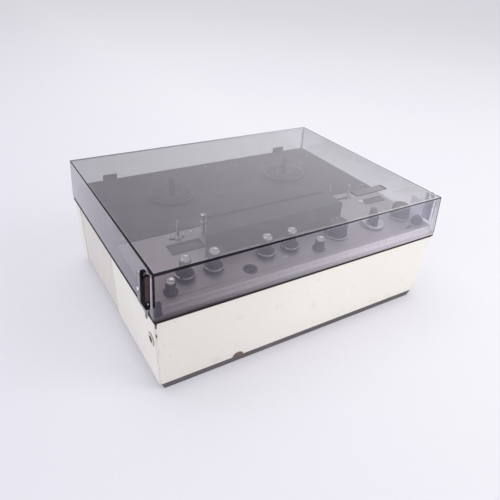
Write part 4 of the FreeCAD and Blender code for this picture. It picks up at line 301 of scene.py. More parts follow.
# Painted shade: the front face is darkened towards its left end.
painted_shade_left_end = x.fall(-0.21, 0.02) * y.fall(-0.1600, -0.1590)
grime = (lacquer.noise(60.0, 3.0) + edge * 0.16).rise(0.62, 0.95)
wood = lacquer.layers((0.24, 0.135, 0.085), (near_corner * z.rise(0.06, 0.08), (0.07, 0.05, 0.04)),
                      (lacquer.noise(700.0, 2.0).rise(0.4, 0.6), (0.10, 0.07, 0.05)))
# Painted shadow: a black line along the top of the case, under the rim's overhang.
painted_shadow_under_rim = (z + side * 0.0008).rise(0.1096, 0.1099)
lacquer.paint((0.86, 0.835, 0.765), (tone.rise(0.3, 0.7), (0.84, 0.81, 0.735)), (painted_shade_left_end * 0.75, (0.70, 0.655, 0.60)),
              (grime * 0.35, (0.46, 0.40, 0.33)), (bare, wood), (painted_shadow_under_rim, (0.008, 0.007, 0.007)))
lacquer.feed("Roughness", tone * 0.12 + 0.34 + bare * 0.4)
lacquer.bump(lacquer.noise(420.0, 2.0) * 0.25 - bare * 1.0, 0.0003)

# %% [markdown]
# ## Plastics and enamels
#
# The side grilles are moulded in a taupe plastic, with dust and painted shade between the ribs, the
# tray below is enamelled steel, and the rim, the hood and the sockets are black mouldings. One helper
# makes the plain ones: a base colour that wanders a little, a fine grain, and a roughness that follows.

# %% A helper for moulded and enamelled surfaces
def moulded(name, color, roughness, grain=600.0, depth=0.00008, wander=0.12, dust=0.0):
    finish = Finish(name, roughness=roughness)
    tone, fine = finish.noise(14.0, 3.0), finish.noise(grain, 2.0)
    light = [min(1.0, c * (1 + wander) + 0.004) for c in color]
    coats = [(tone.rise(0.3, 0.7), [c * (1 - wander) for c in color])]
    if dust:
        coats.append((finish.noise(45.0, 4.0).rise(0.5, 0.8) * dust, (0.42, 0.40, 0.38)))
    finish.paint(light, *coats)
    finish.feed("Roughness", fine * 0.16 + tone * 0.1 + (roughness - 0.13))
    finish.bump(fine, depth)
    return finish


pan_enamel = moulded("dark_enamel", (0.098, 0.085, 0.095), 0.50, 900.0, 0.00005, dust=0.15)
rubber = moulded("black_rubber", (0.028, 0.028, 0.028), 0.75, 800.0, 0.0001)
black_moulding = moulded("black_moulding", (0.020, 0.020, 0.022), 0.38, 700.0, 0.00004, dust=0.10)
hood_moulding = moulded("hood_moulding", (0.030, 0.028, 0.031), 0.42, 1500.0, 0.00006, dust=0.04)
deck_enamel = moulded("deck_enamel", (0.026, 0.025, 0.028), 0.5, 1300.0, 0.00010, dust=0.06)
turntable_moulding = moulded("turntable_moulding", (0.024, 0.023, 0.026), 0.34, 900.0, 0.00003)
socket_moulding = moulded("socket_moulding", (0.022, 0.022, 0.026), 0.4, 900.0, 0.00003)
knob_moulding = moulded("knob_moulding", (0.022, 0.022, 0.028), 0.34, 900.0, 0.00003)
motor_enamel = moulded("motor_enamel", (0.20, 0.21, 0.22), 0.4, 900.0, 0.00003)
cone_paper = moulded("cone_paper", (0.030, 0.029, 0.028), 0.85, 500.0, 0.0003)
varnish = moulded("varnished_core", (0.10, 0.07, 0.045), 0.35, 300.0, 0.0001)
key_plastic = moulded("white_key", (0.62, 0.60, 0.57), 0.3, 900.0, 0.00002)
needle_paint = moulded("red_needle", (0.50, 0.035, 0.02), 0.4, 900.0, 0.00001)
board_resin = moulded("board_resin", (0.30, 0.17, 0.05), 0.4, 300.0, 0.00008)
dial_card = moulded("dial_card", (0.30, 0.29, 0.27), 0.55, 600.0, 0.00002, wander=0.04)
print_ink = moulded("print_ink", (0.035, 0.033, 0.036), 0.5, 900.0, 0.00001)
white_ink = moulded("white_ink", (0.78, 0.78, 0.76), 0.5, 900.0, 0.00001, wander=0.05)
red_ink = moulded("red_ink", (0.45, 0.04, 0.03), 0.5, 900.0, 0.00001)
print("finishes so far:", len(Finish.made))

# %% [markdown]
# The grilles stand upright in the sides. The finish darkens towards the root of a rib, with dust and
# painted shade between the ribs, and the ends of the grooves and a band along the top are black with
# painted shadow under the cover's edge. The wall leans, so its plane is x minus a share of the height.

# %% Grille
grille = Finish("taupe_grille", roughness=0.55)
x, y, z = grille.axes()
depth_in = (0.212076 + z * CASE_LEAN) - x.size()
tone, fine = grille.noise(20.0, 3.0), grille.noise(500.0, 2.0)
in_groove = depth_in.rise(0.0006, 0.0030)
painted_shadow_at_top = (in_groove * z.rise(0.1072, 0.1080)).most(z.rise(0.1100, 0.1103))
# Dust and painted shade darken the grooves, and painted shadow blackens their tops under the rim.
grille.paint((0.84, 0.805, 0.755), (tone.rise(0.3, 0.7), (0.78, 0.745, 0.70)),
             (in_groove * 0.40, (0.16, 0.145, 0.13)), (painted_shadow_at_top, (0.012, 0.011, 0.011)))
grille.feed("Roughness", fine * 0.16 + in_groove * 0.2 + 0.42)
grille.bump(fine, 0.0001)

# %% [markdown]
# ## Metals
#
# Metal has no colour of its own under the reflections, so its look is in the direction of its
# scratches. Brushed sheet is noise pulled out long along X; turned pieces have rings about their axis.

# %% Brushed, turned and plated metal
def brushed(name, color, roughness, scale, depth, metallic=1.0):
    finish = Finish(name, metallic=metallic)
    grain = finish.noise(1.0, 3.0, place=finish.stretched(scale), roughness=0.7)
    cloud = finish.noise(16.0, 4.0)
    finish.paint(color, (grain.rise(0.3, 0.7), [c * 0.84 for c in color]))
    finish.feed("Roughness", grain * 0.12 + cloud * 0.16 + (roughness - 0.14))
    finish.bump(grain, depth)
    return finish


plated_steel = brushed("plated_steel", (0.62, 0.61, 0.60), 0.22, (300.0, 300.0, 60.0), 0.00001)
zinc_steel = brushed("zinc_steel", (0.50, 0.50, 0.48), 0.36, (200.0, 200.0, 200.0), 0.00002)
blackened_steel = brushed("blackened_steel", (0.10, 0.10, 0.105), 0.40, (200.0, 200.0, 200.0), 0.00002)
chrome = brushed("chromed_rim", (0.86, 0.86, 0.87), 0.19, (120.0, 120.0, 120.0), 0.000002)
knob_aluminium = brushed("turned_aluminium", (0.66, 0.65, 0.67), 0.30, (500.0, 500.0, 90.0), 0.00001)
crown_metal = brushed("crown_metal", (0.60, 0.575, 0.58), 0.24, (120.0, 120.0, 120.0), 0.00001, metallic=0.9)
# Rivets are near white and barely metallic: their brightness is a painted highlight.
rivet_metal = brushed("rivet_metal", (0.92, 0.91, 0.90), 0.25, (120.0, 120.0, 120.0), 0.000002, metallic=0.15)
worn_ring = brushed("worn_ring", (0.74, 0.71, 0.65), 0.5, (200.0, 200.0, 200.0), 0.00002, metallic=0.1)
bearing_brass = brushed("bearing_brass", (0.68, 0.50, 0.22), 0.28, (60.0, 60.0, 700.0), 0.00001)
flywheel_metal = brushed("flywheel_metal", (0.42, 0.42, 0.44), 0.34, (60.0, 60.0, 900.0), 0.00002)
head_metal = brushed("head_metal", (0.72, 0.71, 0.70), 0.20, (500.0, 40.0, 500.0), 0.000005)
rusty_screw = brushed("rusty_screw", (0.16, 0.10, 0.075), 0.55, (400.0, 400.0, 400.0), 0.0001, metallic=0.6)

# %% [markdown]
# The rim between case and cover is black. Its front shows bare metal above, where the panel's lip
# comes down to it, and that metal is painted brighter towards the right, as painted light. The
# buffer block at the left front corner is a black of its own, faintly violet.

# %% Rim
rim_finish = Finish("rim", roughness=0.6, specular=0.12)
x, y, z = rim_finish.axes()
fine = rim_finish.noise(900.0, 2.0)
buffer = z.rise(0.1172, 0.1174) * x.fall(-0.2058, -0.2055)
upper_front = y.fall(-0.1580, -0.1570) * z.rise(0.1142, 0.1148) * (1.0 - buffer)
# Painted light: the rim's metal grows brighter towards the right.
rim_lip_painted_light = rim_finish.mix(x.rise(-0.20, 0.10), (0.34, 0.30, 0.32), (0.90, 0.85, 0.865))
rim_metal_painted_light = rim_finish.layers((0.062, 0.052, 0.058), (x.rise(-0.15, 0.20), (0.58, 0.54, 0.55)),
                              (z.rise(0.1168, 0.1172), rim_lip_painted_light))
rim_finish.paint((0.006, 0.006, 0.007), (fine, (0.014, 0.013, 0.014)), (buffer, (0.050, 0.044, 0.062)),
                 (upper_front, rim_metal_painted_light))
rim_finish.feed("Metallic", upper_front * 0.2)
rim_finish.feed("Roughness", fine * 0.12 + 0.52 - upper_front * 0.1)
rim_finish.bump(fine, 0.00003)

# %% [markdown]
# The control panel is bare aluminium with a violet tinge, brushed along its length. Handling has
# left it blotched, and a darker haze gathers towards its rear. Panel and lip are painted lighter
# towards the right, as painted light. The lip in front is duller and streaked, with a painted
# highlight where the sheet bends down.

# %% Control panel
panel = Finish("panel_aluminium")
long_grain = panel.noise(1.0, 3.0, place=panel.stretched((5.0, 1300.0, 1300.0)), roughness=0.75)
blotch = panel.noise(22.0, 5.0, roughness=0.6)
x, y, z = panel.axes()
# The mask towards the right paints panel and lip lighter: painted light.
haze, lip, painted_light_right = y.rise(-0.15, -0.04), y.fall(-0.1612, -0.1600), x.rise(-0.20, 0.10)
streak = panel.noise(1.0, 2.0, place=panel.stretched((300.0, 60.0, 14.0))).rise(0.45, 0.7)
# The lip's colour: painted lighter towards the right, with a painted highlight along the bend.
lip_color = panel.layers((0.36, 0.315, 0.335), (painted_light_right, (0.90, 0.85, 0.865)),
                         (streak * 0.22, (0.36, 0.31, 0.32)),
                         (z.rise(0.1266, 0.1272) * 0.35, (0.95, 0.91, 0.92)))
panel.paint((0.315, 0.265, 0.275), (painted_light_right, (0.52, 0.475, 0.495)),
            (long_grain.rise(0.25, 0.75) * 0.3, (0.32, 0.28, 0.29)),
            (haze * 0.3 + blotch.rise(0.52, 0.75) * 0.22, (0.38, 0.34, 0.375)), (lip, lip_color))
panel.feed("Metallic", 0.72 - lip * 0.52)
panel.feed("Roughness", long_grain * 0.14 + blotch * 0.22 + 0.27 + lip * 0.12)
panel.bump(long_grain, 0.00003)

# %% [markdown]
# ## The smoked cover
#
# A cover of smoked acrylic is clear but dark. Real refraction through two walls is slow to
# render and noisy, so the cover is a tinted surface instead: its outer skin lets part of what lies
# behind through and adds its own veil, a painted reflection, and its inner skin lets everything
# through, so that each wall is counted once. First come masks, which say on which wall a point
# lies. They measure how deep it lies behind the outer faces, which lean in towards the top.

# %% Where a point lies on the cover
COVER_X, COVER_Y, COVER_FOOT, COVER_TOP = 0.2172, 0.16665, 0.117, 0.1733
COVER_LEAN_X, COVER_LEAN_Y = 0.0391, 0.0471


def upright(across, z, lean):
    """How far out a point lies, taken down along a leaning wall to the cover's foot."""
    return across.size() + (z - COVER_FOOT) * lean


smoke = Finish("smoked_acrylic", metallic=1.0)
x, y, z = smoke.axes()
in_x, in_y, in_z = COVER_X - upright(x, z, COVER_LEAN_X), COVER_Y - upright(y, z, COVER_LEAN_Y), COVER_TOP - z
outer = in_x.fall(0.0007, 0.0012).most(in_y.fall(0.0007, 0.0012)).most(in_z.fall(0.0010, 0.0015))
foot = z.fall(0.1172, 0.1176) * y.rise(-0.1630, -0.1615)
on_top, on_side, on_end = [depth.fall(0.0010, 0.0015) for depth in (in_z, in_x, in_y)]
left_half, front_half = x.fall(-0.01, 0.01), y.fall(-0.01, 0.01)
on_front, on_rear = on_end * front_half, on_end * (1.0 - front_half)
on_left, on_right = on_side * left_half, on_side * (1.0 - left_half)
to_left, to_front, bright_end = x.fall(-0.20, 0.12), y.fall(-0.165, 0.10), x.rise(-0.06, 0.12)

# %% [markdown]
# At an edge one looks along the sheet, and it closes to a dark line with a light one beside it, and
# the light one is a painted highlight.
# The lines are as wide as the photograph shows them: wider towards the left front, and faint at
# the rear corners.

# %% Lines along the cover's edges
def near(depth, width):
    """1 where an outer face is nearer than a width."""
    return (1.0 - (depth - width) * 4000.0).most(0.0).least(1.0)


def along_edges(extra):
    """1 on a line along each edge, which is wider by extra than the dark line."""
    left, front, rear = x.fall(0.0, 0.01), y.fall(0.0, 0.01), y.rise(0.0, 0.01)
    side_width = left * (to_front * 0.0010 - 0.0015) + 0.0026 + extra
    end_width = front * (to_left * 0.0010 - 0.0007) + 0.0019 + extra
    corner_width = to_left * front * -0.0003 + 0.0022 + extra
    side_line = near(in_x, side_width) * near(in_z, side_width)
    end_line = near(in_y, end_width) * near(in_z, end_width) * (1.0 - front * bright_end * 0.15)
    corner_line = near(in_x, corner_width) * near(in_y, corner_width)
    corner_line = corner_line * (1.0 - to_left * z.fall(0.130, 0.134)) * (1.0 - rear * 0.6)
    return side_line.most(end_line).most(corner_line)


# The light line along the edges is a painted highlight.
dark_line, highlight_line = along_edges(0.0), along_edges(bright_end * 0.0016 + 0.0012)

# %% [markdown]
# The tint is painted reflection: the colour of what the cover reflects, dark at the left and milky
# on top and at the right. The density, its alpha, grows where one looks along a wall, so it follows
# the angle between the surface and the view. Scuffs and cloudy marks add a little to both.

# %% Smoked acrylic
marks = smoke.noise(30.0, 5.0, roughness=0.65).rise(0.55, 0.85)
scuffs = smoke.noise(1.0, 2.0, place=smoke.stretched((260.0, 24.0, 60.0), turn=(0, 0, 0.6))).rise(0.71, 0.76)
veil = smoke.noise(4.0, 3.0)
facing = smoke.node("ShaderNodeLayerWeight", inputs={"Blend": 0.5}, output="Facing")
from_behind = on_rear.most(on_right)
painted_reflection = marks * 0.15 + veil * 0.15 + on_top * 0.85 + on_left * 0.33 + on_front * (1.0 - to_left) * 0.75
# Painted reflection tints the cover on each wall.
smoke.paint((0.14, 0.125, 0.15), ((painted_reflection + from_behind * 0.3).least(1.0), (0.84, 0.81, 0.89)),
            (from_behind * 0.5, (0.41, 0.36, 0.41)), (on_front * (1.0 - to_left) * 0.14, (0.55, 0.585, 0.78)),
            (highlight_line * on_top * (bright_end * 0.4 + 0.4), (0.84, 0.82, 0.88)),
            (dark_line.most(foot), (0.02, 0.018, 0.024)))
at_a_glance = (facing ** 4.0 * 0.96 + 0.04) * 1.8
walls = on_front * (to_left * 0.06 + 0.10) + on_rear * 0.14 + on_right * (z.rise(0.135, 0.165) * 0.16 + 0.18)
lines = highlight_line * (on_top * bright_end * 0.35 + 0.10) + dark_line * 0.75
density = at_a_glance + 0.13 + walls + on_top * to_left * 0.10 + marks * 0.05 + scuffs * 0.08 + lines
smoke.feed("Alpha", (density * outer).most(foot * 0.9).least(0.97))
smoke.feed("Roughness", marks * 0.22 + scuffs * 0.2 + 0.06)

# %% Panes of the meter and the counter
clear_pane = Finish("clear_pane", color=(0.16, 0.16, 0.165), roughness=0.09)
pane_glance = clear_pane.node("ShaderNodeFresnel", inputs={"IOR": 1.45})
pane_dust = clear_pane.noise(90.0, 3.0)
clear_pane.feed("Alpha", pane_glance * 0.8 + pane_dust * 0.10 + 0.03)

# %% [markdown]
# A latch is a dark grip in front of a milky hook plate. Both are moulded thin and let light through
# from outside, which we see on their inner side through the cover: a pale colour and a little glow
# on that side are painted light that stands for it. A mask on the distance from the cover's wall
# finds the inner side.

# %% Grip of a latch
GRIP_FRONT = (-0.1609, -0.1607)
INNER_SKIN = (0.2182, 0.2185)
latch = Finish("latch", specular=0.02)
x, y, z = latch.axes()
out, at_right, at_front = upright(x, z, COVER_LEAN_X), x.rise(0.0, 0.01), y.fall(*GRIP_FRONT)
inner_side = out.fall(*INNER_SKIN)
right_inner = at_right * inner_side
# The inner side is painted pale, as painted light.
pale = inner_side.most(at_right * out.fall(0.2222, 0.2226))
front_face = at_front * z.rise(0.138, 0.142)
rub = latch.noise(120.0, 3.0)
scratch = latch.noise(1.0, 2.0, place=latch.stretched((60.0, 60.0, 900.0)))
brown = latch.mix(rub, (0.085, 0.058, 0.055), (0.045, 0.032, 0.032))
# A painted highlight: a small glint on the grip's front.
painted_glint = sum_of_squares([(x.size() - 0.2204) / 0.0008, (z - 0.1365) / 0.0012]).fall(0.8, 1.2) * at_front
groove = (y - -0.1440).size().fall(0.0013, 0.0018)
grooved = latch.mix(groove, (0.25, 0.26, 0.33), (0.60, 0.60, 0.68))
pale_color = latch.mix(right_inner, (0.84, 0.81, 0.87), grooved)
latch.paint((0.008, 0.008, 0.010), (rub.rise(0.6, 0.8), (0.032, 0.030, 0.032)), (front_face, brown),
            (painted_glint, (0.40, 0.39, 0.40)), (pale, pale_color))
# Painted light: this glow on the inner side stands for light coming through the thin plastic.
glow = pale * (1.0 - right_inner * 0.4) * (at_right * 0.7 + 0.3)
glow_color = latch.mix(right_inner, (0.50, 0.485, 0.53), (0.16, 0.165, 0.21))
latch.feed("Emission Color", latch.mix(glow, (0.0, 0.0, 0.0), glow_color))
latch.feed("Roughness", rub * 0.2 + scratch * 0.1 + 0.50 - front_face * 0.2)

# %% Hook plate of a latch
hook_finish = Finish("hook_plate", specular=0.35)
x, y, z = hook_finish.axes()
inner_side = upright(x, z, COVER_LEAN_X).fall(*INNER_SKIN)
milk = hook_finish.noise(90.0, 3.0)
rear_edge = (y - -0.1217).size().fall(0.0014, 0.0018)
round_rivet = sum_of_squares([(y - -0.1262) / 0.0036, (z - 0.133) / 0.0050]).fall(0.9, 1.1)
hook_finish.paint((0.25, 0.235, 0.275), (milk * 0.5, (0.19, 0.18, 0.215)), (z.fall(0.1130, 0.1150), (0.13, 0.11, 0.10)),
                  (rear_edge.most(round_rivet) * 0.8, (0.05, 0.048, 0.06)), (inner_side, (0.80, 0.77, 0.85)))
# Painted light: the hook plate's inner side glows for light coming through it.
glow = inner_side * z.rise(0.115, 0.119) * (x.rise(0.0, 0.01) * 0.7 + 0.3)
hook_finish.feed("Emission Color", hook_finish.mix(glow, (0.0, 0.0, 0.0), (0.36, 0.35, 0.42)))
hook_finish.feed("Roughness", milk * 0.2 + 0.2)
for finish in (latch, hook_finish):
    finish.shader.inputs["Emission Strength"].default_value = 1.0

# %% [markdown]
# ## Making new pieces
#
# A turned piece is an outline swept round an axis. We write the outline as pairs of radius and
# height in millimetres, from the middle of its foot round to the middle of its top, so that its
# faces point outwards. A third number picks the finish of the band that ends there.

# %% Turned shapes and small blocks
def lathe(outline, steps=64):
    work = bmesh.new()
    turns = [(math.cos(math.tau * i / steps), math.sin(math.tau * i / steps)) for i in range(steps)]
    rings = []
    for radius, height, *_ in outline:
        spokes = [(0, 0)] if radius == 0 else turns
        rings.append([work.verts.new((radius * MM * c, radius * MM * s, height * MM)) for c, s in spokes])
    for lower, upper, point in zip(rings, rings[1:], outline[1:]):
        for i in range(steps):
            j = (i + 1) % steps
            corners = [lower[i % len(lower)], lower[j % len(lower)], upper[j % len(upper)], upper[i % len(upper)]]
            face = work.faces.new(list(dict.fromkeys(corners)))
            face.smooth = True
            face.material_index = point[2] if len(point) > 2 else 0
    return to_mesh(work)


def block(size, middle=(0, 0, 0), bevel=0.0):
    """A box of a size about a middle, in millimetres, with its edges broken."""
    work = bmesh.new()
    bmesh.ops.create_cube(work, size=1.0)
    bmesh.ops.scale(work, vec=[s * MM for s in size], verts=work.verts)
    if bevel:
        bmesh.ops.bevel(work, geom=work.edges, offset=bevel * MM, segments=2, affect="EDGES", profile=0.5)
    bmesh.ops.translate(work, vec=[m * MM for m in middle], verts=work.verts)
    return to_mesh(work)


def to_mesh(work):
    mesh = bpy.data.meshes.new("work")
    work.to_mesh(mesh)
    work.free()
    return mesh


# %% [markdown]
# The parts of one piece are joined into one mesh. Each keeps its finishes, its place is worked
# into its points, and edges that bend sharply stay crisp.

# %% Join parts into a piece
def piece(name, body, parts, stands_for=()):
    """parts holds (mesh, place, finishes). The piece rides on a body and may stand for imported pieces."""
    mesh, work = bpy.data.meshes.new(name), bmesh.new()
    for part, place, finishes in parts:
        first_face, first_vert, shift = len(work.faces), len(work.verts), len(mesh.materials)
        work.from_mesh(part)
        work.verts.ensure_lookup_table()
        work.faces.ensure_lookup_table()
        for face in work.faces[first_face:]:
            face.material_index += shift
        bmesh.ops.transform(work, matrix=place, verts=work.verts[first_vert:])
        for finish in finishes:
            mesh.materials.append(finish.material)
    work.to_mesh(mesh)
    work.free()
    mesh.set_sharp_from_angle(angle=math.radians(38))
    made = in_scene(name, mesh)
    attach(made, body)
    if stands_for:
        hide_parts(*stands_for)
    return made


# %% [markdown]
# The control panel falls towards the front. Knobs and marks are drawn upright about their own
# middle, and one matrix sets them down on the slope.

# %% Places on the panel
PANEL_REAR = Vector((0.0, -0.032, 0.134))
PANEL_TILT = math.radians(2.75)
panel_slope = Matrix.Translation(PANEL_REAR) @ Matrix.Rotation(PANEL_TILT, 4, "X")


def on_panel(x, y, height=0.0, turn=0.0):
    """A place on the panel, in millimetres from the middle of the recorder, seen from above."""
    along = (y * MM - PANEL_REAR.y) / math.cos(PANEL_TILT)
    return panel_slope @ Matrix.Translation((x * MM, along, height * MM)) @ Matrix.Rotation(math.radians(turn), 4, "Z")


print("mixer knobs stand on the panel at", [round(v, 4) for v in on_panel(-162.5, -125.5).translation])

# %% [markdown]
# ## Geometry Nodes for what repeats
#
# Grips, tick marks, pins and screws are one small shape set out many times. A recipe is a tree of
# Geometry Nodes with named inputs. We cook it on the small shape and keep the plain mesh it gives.

# %% A recipe and how it is cooked
def worked_out(helper):
    """The plain mesh of a helper, which is then removed."""
    graph = bpy.context.evaluated_depsgraph_get()
    mesh = bpy.data.meshes.new_from_object(helper.evaluated_get(graph), depsgraph=graph)
    helper.modifiers.clear()
    bpy.data.objects.remove(helper)
    return mesh


class Recipe(Tree):
    KINDS = {int: "NodeSocketInt", float: "NodeSocketFloat", bpy.types.Object: "NodeSocketObject",
             bpy.types.Material: "NodeSocketMaterial"}

    def __init__(self, name, **inputs):
        super().__init__(bpy.data.node_groups.new(name, "GeometryNodeTree"))
        face = self.tree.interface
        face.new_socket("Geometry", in_out="INPUT", socket_type="NodeSocketGeometry")
        face.new_socket("Geometry", in_out="OUTPUT", socket_type="NodeSocketGeometry")
        self.sockets = {}
        for label, kind in {**inputs, "finish": bpy.types.Material}.items():
            socket = face.new_socket(label, in_out="INPUT", socket_type=self.KINDS[kind])
            self.sockets[label] = socket.identifier
        self.source = self.tree.nodes.new("NodeGroupInput")
        self.shape = self.given("Geometry")

    def given(self, label):
        return Value(self.tree, self.source.outputs[label])

    def serve(self, instances):
        """End the tree: make the instances real and give them the finish."""
        real = self.node("GeometryNodeRealizeInstances", inputs={"Geometry": instances})
        done = self.node("GeometryNodeSetMaterial", inputs={"Geometry": real, "Material": self.given("finish")})
        end = self.tree.nodes.new("NodeGroupOutput")
        self.tree.links.new(done.socket, end.inputs["Geometry"])

    def cook(self, shape, finish, **values):
        helper = in_scene("helper", shape)
        modifier = helper.modifiers.new("recipe", "NODES")
        modifier.node_group = self.tree
        for label, value in {**values, "finish": finish.material}.items():
            modifier[self.sockets[label]] = value
        mesh = worked_out(helper)
        for face in mesh.polygons:
            face.material_index = 0
        return mesh


# %% [markdown]
# The first recipe sets a shape out round a circle, or along a part of it. Point number i stands at
# an angle of first + i * step, and its shape turns with it, so that its X axis points outwards.

# %% Round a circle
circle = Recipe("round_circle", count=int, radius=float, first=float, step=float)
angle = circle.node("GeometryNodeInputIndex") * circle.given("step") + circle.given("first")
reach = circle.given("radius")
spoke = circle.node("ShaderNodeCombineXYZ", inputs={
    "X": angle.math("COSINE") * reach, "Y": angle.math("SINE") * reach})
points = circle.node("GeometryNodePoints", inputs={"Count": circle.given("count"), "Position": spoke})
facing = circle.node("ShaderNodeCombineXYZ", inputs={"Z": angle})
circle.serve(circle.node("GeometryNodeInstanceOnPoints", inputs={
    "Points": points, "Instance": circle.shape, "Rotation": facing}))


def ring(shape, finish, place, count, radius, first=0.0, step=None):
    """A part of count shapes at a radius in millimetres, step degrees apart or all round."""
    step = 360.0 / count if step is None else step
    mesh = circle.cook(shape, finish, count=count, radius=radius * MM, first=math.radians(first),
                       step=math.radians(step))
    return mesh, place, [finish]


# %% [markdown]
# The second recipe sets a shape down on the points of another object, each turned at random as
# screws are. The seed is fixed, so every run gives the same turns.

# %% On given points
on_points = Recipe("on_points", places=bpy.types.Object, seed=int)
places = on_points.node("GeometryNodeObjectInfo", {"transform_space": "ORIGINAL"},
                        {"Object": on_points.given("places")}, output="Geometry")
chance = on_points.node("FunctionNodeRandomValue", {"data_type": "FLOAT"},
                        {2: 0.0, 3: math.tau, "Seed": on_points.given("seed")}, output=1)
any_turn = on_points.node("ShaderNodeCombineXYZ", inputs={"Z": chance})
on_points.serve(on_points.node("GeometryNodeInstanceOnPoints", inputs={
    "Points": places, "Instance": on_points.shape, "Rotation": any_turn}))


def scatter(shape, finish, place, spots, seed):
    """A part of the shape at each of the spots, in metres."""
    dots = bpy.data.meshes.new("places")
    dots.from_pydata(spots, [], [])
    marker = in_scene("places", dots)
    mesh = on_points.cook(shape, finish, places=marker, seed=seed)
    bpy.data.objects.remove(marker)
    return mesh, place, [finish]


# %% [markdown]
# ## The knobs
#
# Four double knobs mix the inputs: a lower disc with a bright rim, and a slim upper knob through
# its middle, whose crown is faceted metal. The grip ribs are one half-round bar, set out by the
# recipe.

# %% Ribs of a grip
def rib(width, low, high, lean=0.0):
    """A half-round bar that stands up along Z with its back to the axis; lean draws its top in."""
    work = bmesh.new()
    profile = [(-0.4, -width / 2), (0.0, -width / 2), (width * 0.36, -width * 0.3), (width * 0.5, 0.0),
               (width * 0.36, width * 0.3), (0.0, width / 2), (-0.4, width / 2)]
    rows = [[work.verts.new(((x + shift) * MM, y * MM, z * MM)) for x, y in profile]
            for z, shift in ((low, 0.0), (high - width / 2, -lean), (high, -lean - width / 3))]
    for lower, upper in zip(rows, rows[1:]):
        for i in range(len(profile)):
            j = (i + 1) % len(profile)
            work.faces.new((lower[i], lower[j], upper[j], upper[i])).smooth = True
    work.faces.new(list(reversed(rows[0])))
    work.faces.new(rows[-1])
    bmesh.ops.recalc_face_normals(work, faces=work.faces)
    return to_mesh(work)


# %% Double knobs
MIXER_XS = (-162.5, -125.5, -52.5, -15.5)
MIXER_Y = -125.5
disc_outline = [(0, -8.2), (3.5, -8.2), (3.5, 1.1), (11.0, 1.1), (11.5, 1.6), (11.6, 6.1), (12.0, 6.4, 1),
                (12.0, 7.1, 1), (11.8, 7.45, 1), (11.45, 7.5, 1), (11.2, 7.3, 1), (11.1, 7.0), (8.6, 6.9), (0, 6.9)]
cap_outline = [(0, -12.2), (2.0, -12.2), (2.0, 7.8), (7.0, 7.8), (7.3, 8.2), (7.3, 9.2), (6.75, 9.8), (6.35, 26.0),
               (6.5, 26.1, 1), (6.6, 27.2, 1), (6.2, 28.5, 1), (5.5, 29.3, 1), (5.0, 29.4, 1), (4.6, 28.9, 1),
               (3.2, 28.4, 1), (0, 28.7, 1)]
for number, x in enumerate(MIXER_XS, 1):
    place = on_panel(x, MIXER_Y)
    piece(f"mixer_disc_{number}", f"mixer_ring_{number}", [
        (lathe(disc_outline, 72), place, [knob_moulding, chrome]),
        ring(rib(0.75, 2.0, 6.2), knob_moulding, place, 48, 11.55),
        ring(block((2.2, 0.5, 0.25), (0, 0, 6.95)), knob_moulding, place, 40, 9.8)], [f"mixer_ring_{number}"])
    piece(f"mixer_knob_{number}", f"mixer_cap_{number}", [
        (lathe(cap_outline, 48), place, [knob_moulding, crown_metal]),
        ring(rib(1.1, 9.9, 26.0, 0.35), knob_moulding, place, 22, 6.6),
        ring(rib(1.5, 26.3, 28.6, 0.9), crown_metal, place, 12, 6.1),
        (block((3.0, 0.6, 0.2), (4.2, 0, 28.95)), place, [print_ink])], [f"mixer_cap_{number}"])
print("double knobs:", len(MIXER_XS))

# %% Bass and treble
TONE_PLACES = {"bass": (-187.5, -142.5), "treble": (19.5, -142.0)}
tone_outline = [(0, -9.7), (3.0, -9.7), (3.0, 1.1), (8.3, 1.1), (8.5, 1.3), (8.5, 2.0), (8.2, 2.4), (6.9, 3.7),
                (6.1, 5.6), (5.5, 7.6), (5.3, 14.4), (5.6, 14.6, 1), (5.75, 15.8, 1), (5.3, 16.7, 1), (4.6, 17.0, 1),
                (4.0, 16.7, 1), (3.2, 16.2, 1), (0, 16.4, 1)]
for name, (x, y) in TONE_PLACES.items():
    place = on_panel(x, y)
    piece(f"{name}_dial", f"{name}_knob", [
        (lathe(tone_outline, 48), place, [knob_moulding, crown_metal]),
        ring(rib(1.05, 5.6, 14.4, 0.2), knob_moulding, place, 18, 5.45),
        (block((3.6, 0.7, 0.2), (6.3, 0, 4.9)), place, [white_ink])], [f"{name}_knob"])

# %% [markdown]
# The three large controls stand in a row on the right. Two are fluted knobs in bright rings, and
# between them a bar on a metal disc sets the tape moving. The power button stands in front of the
# last one in a dark collar.

# %% Selector and volume
SELECTOR, VOLUME, TRANSPORT = (63.0, -123.5), (185.0, -123.0), (130.0, -124.0)


def large_outline(rim, body, top):
    return [(0, -12.2), (3.0, -12.2), (3.0, 1.1), (rim - 0.8, 1.1), (rim - 0.3, 1.6), (rim, 2.2, 1), (rim, 2.9, 1),
            (rim - 0.3, 3.3, 1), (rim - 0.9, 3.4, 1), (rim - 1.5, 3.3), (body, 3.6), (body - 0.5, top - 1.4),
            (body - 0.8, top - 0.5), (body - 1.4, top - 0.1), (body - 2.0, top), (body - 2.6, top - 0.4),
            (0, top - 0.4)]


for name, spot_on_panel, rim, body, top, flutes, turn in (
        ("selector", SELECTOR, 16.5, 13.4, 22.0, 24, 60.0), ("volume", VOLUME, 15.5, 12.2, 20.0, 28, 215.0)):
    place = on_panel(*spot_on_panel, turn=turn)
    piece(f"{name}_dial", f"{name}_knob", [
        (lathe(large_outline(rim, body, top), 96), place, [knob_moulding, chrome]),
        ring(rib(2.2, 3.5, top - 0.5, 0.5), knob_moulding, place, flutes, body - 0.1),
        (block((5.0, 0.8, 0.25), (body - 5.0, 0, top - 0.4)), place, [knob_aluminium])], [f"{name}_knob"])

# %% Power button's collar
collar_outline = [(6.3, 0.05), (8.7, 0.05), (8.0, 5.7), (6.3, 5.7), (6.3, 0.05)]
piece("power_collar", "root", [(lathe(collar_outline, 48), on_panel(197.0, -146.0), [knob_moulding])])

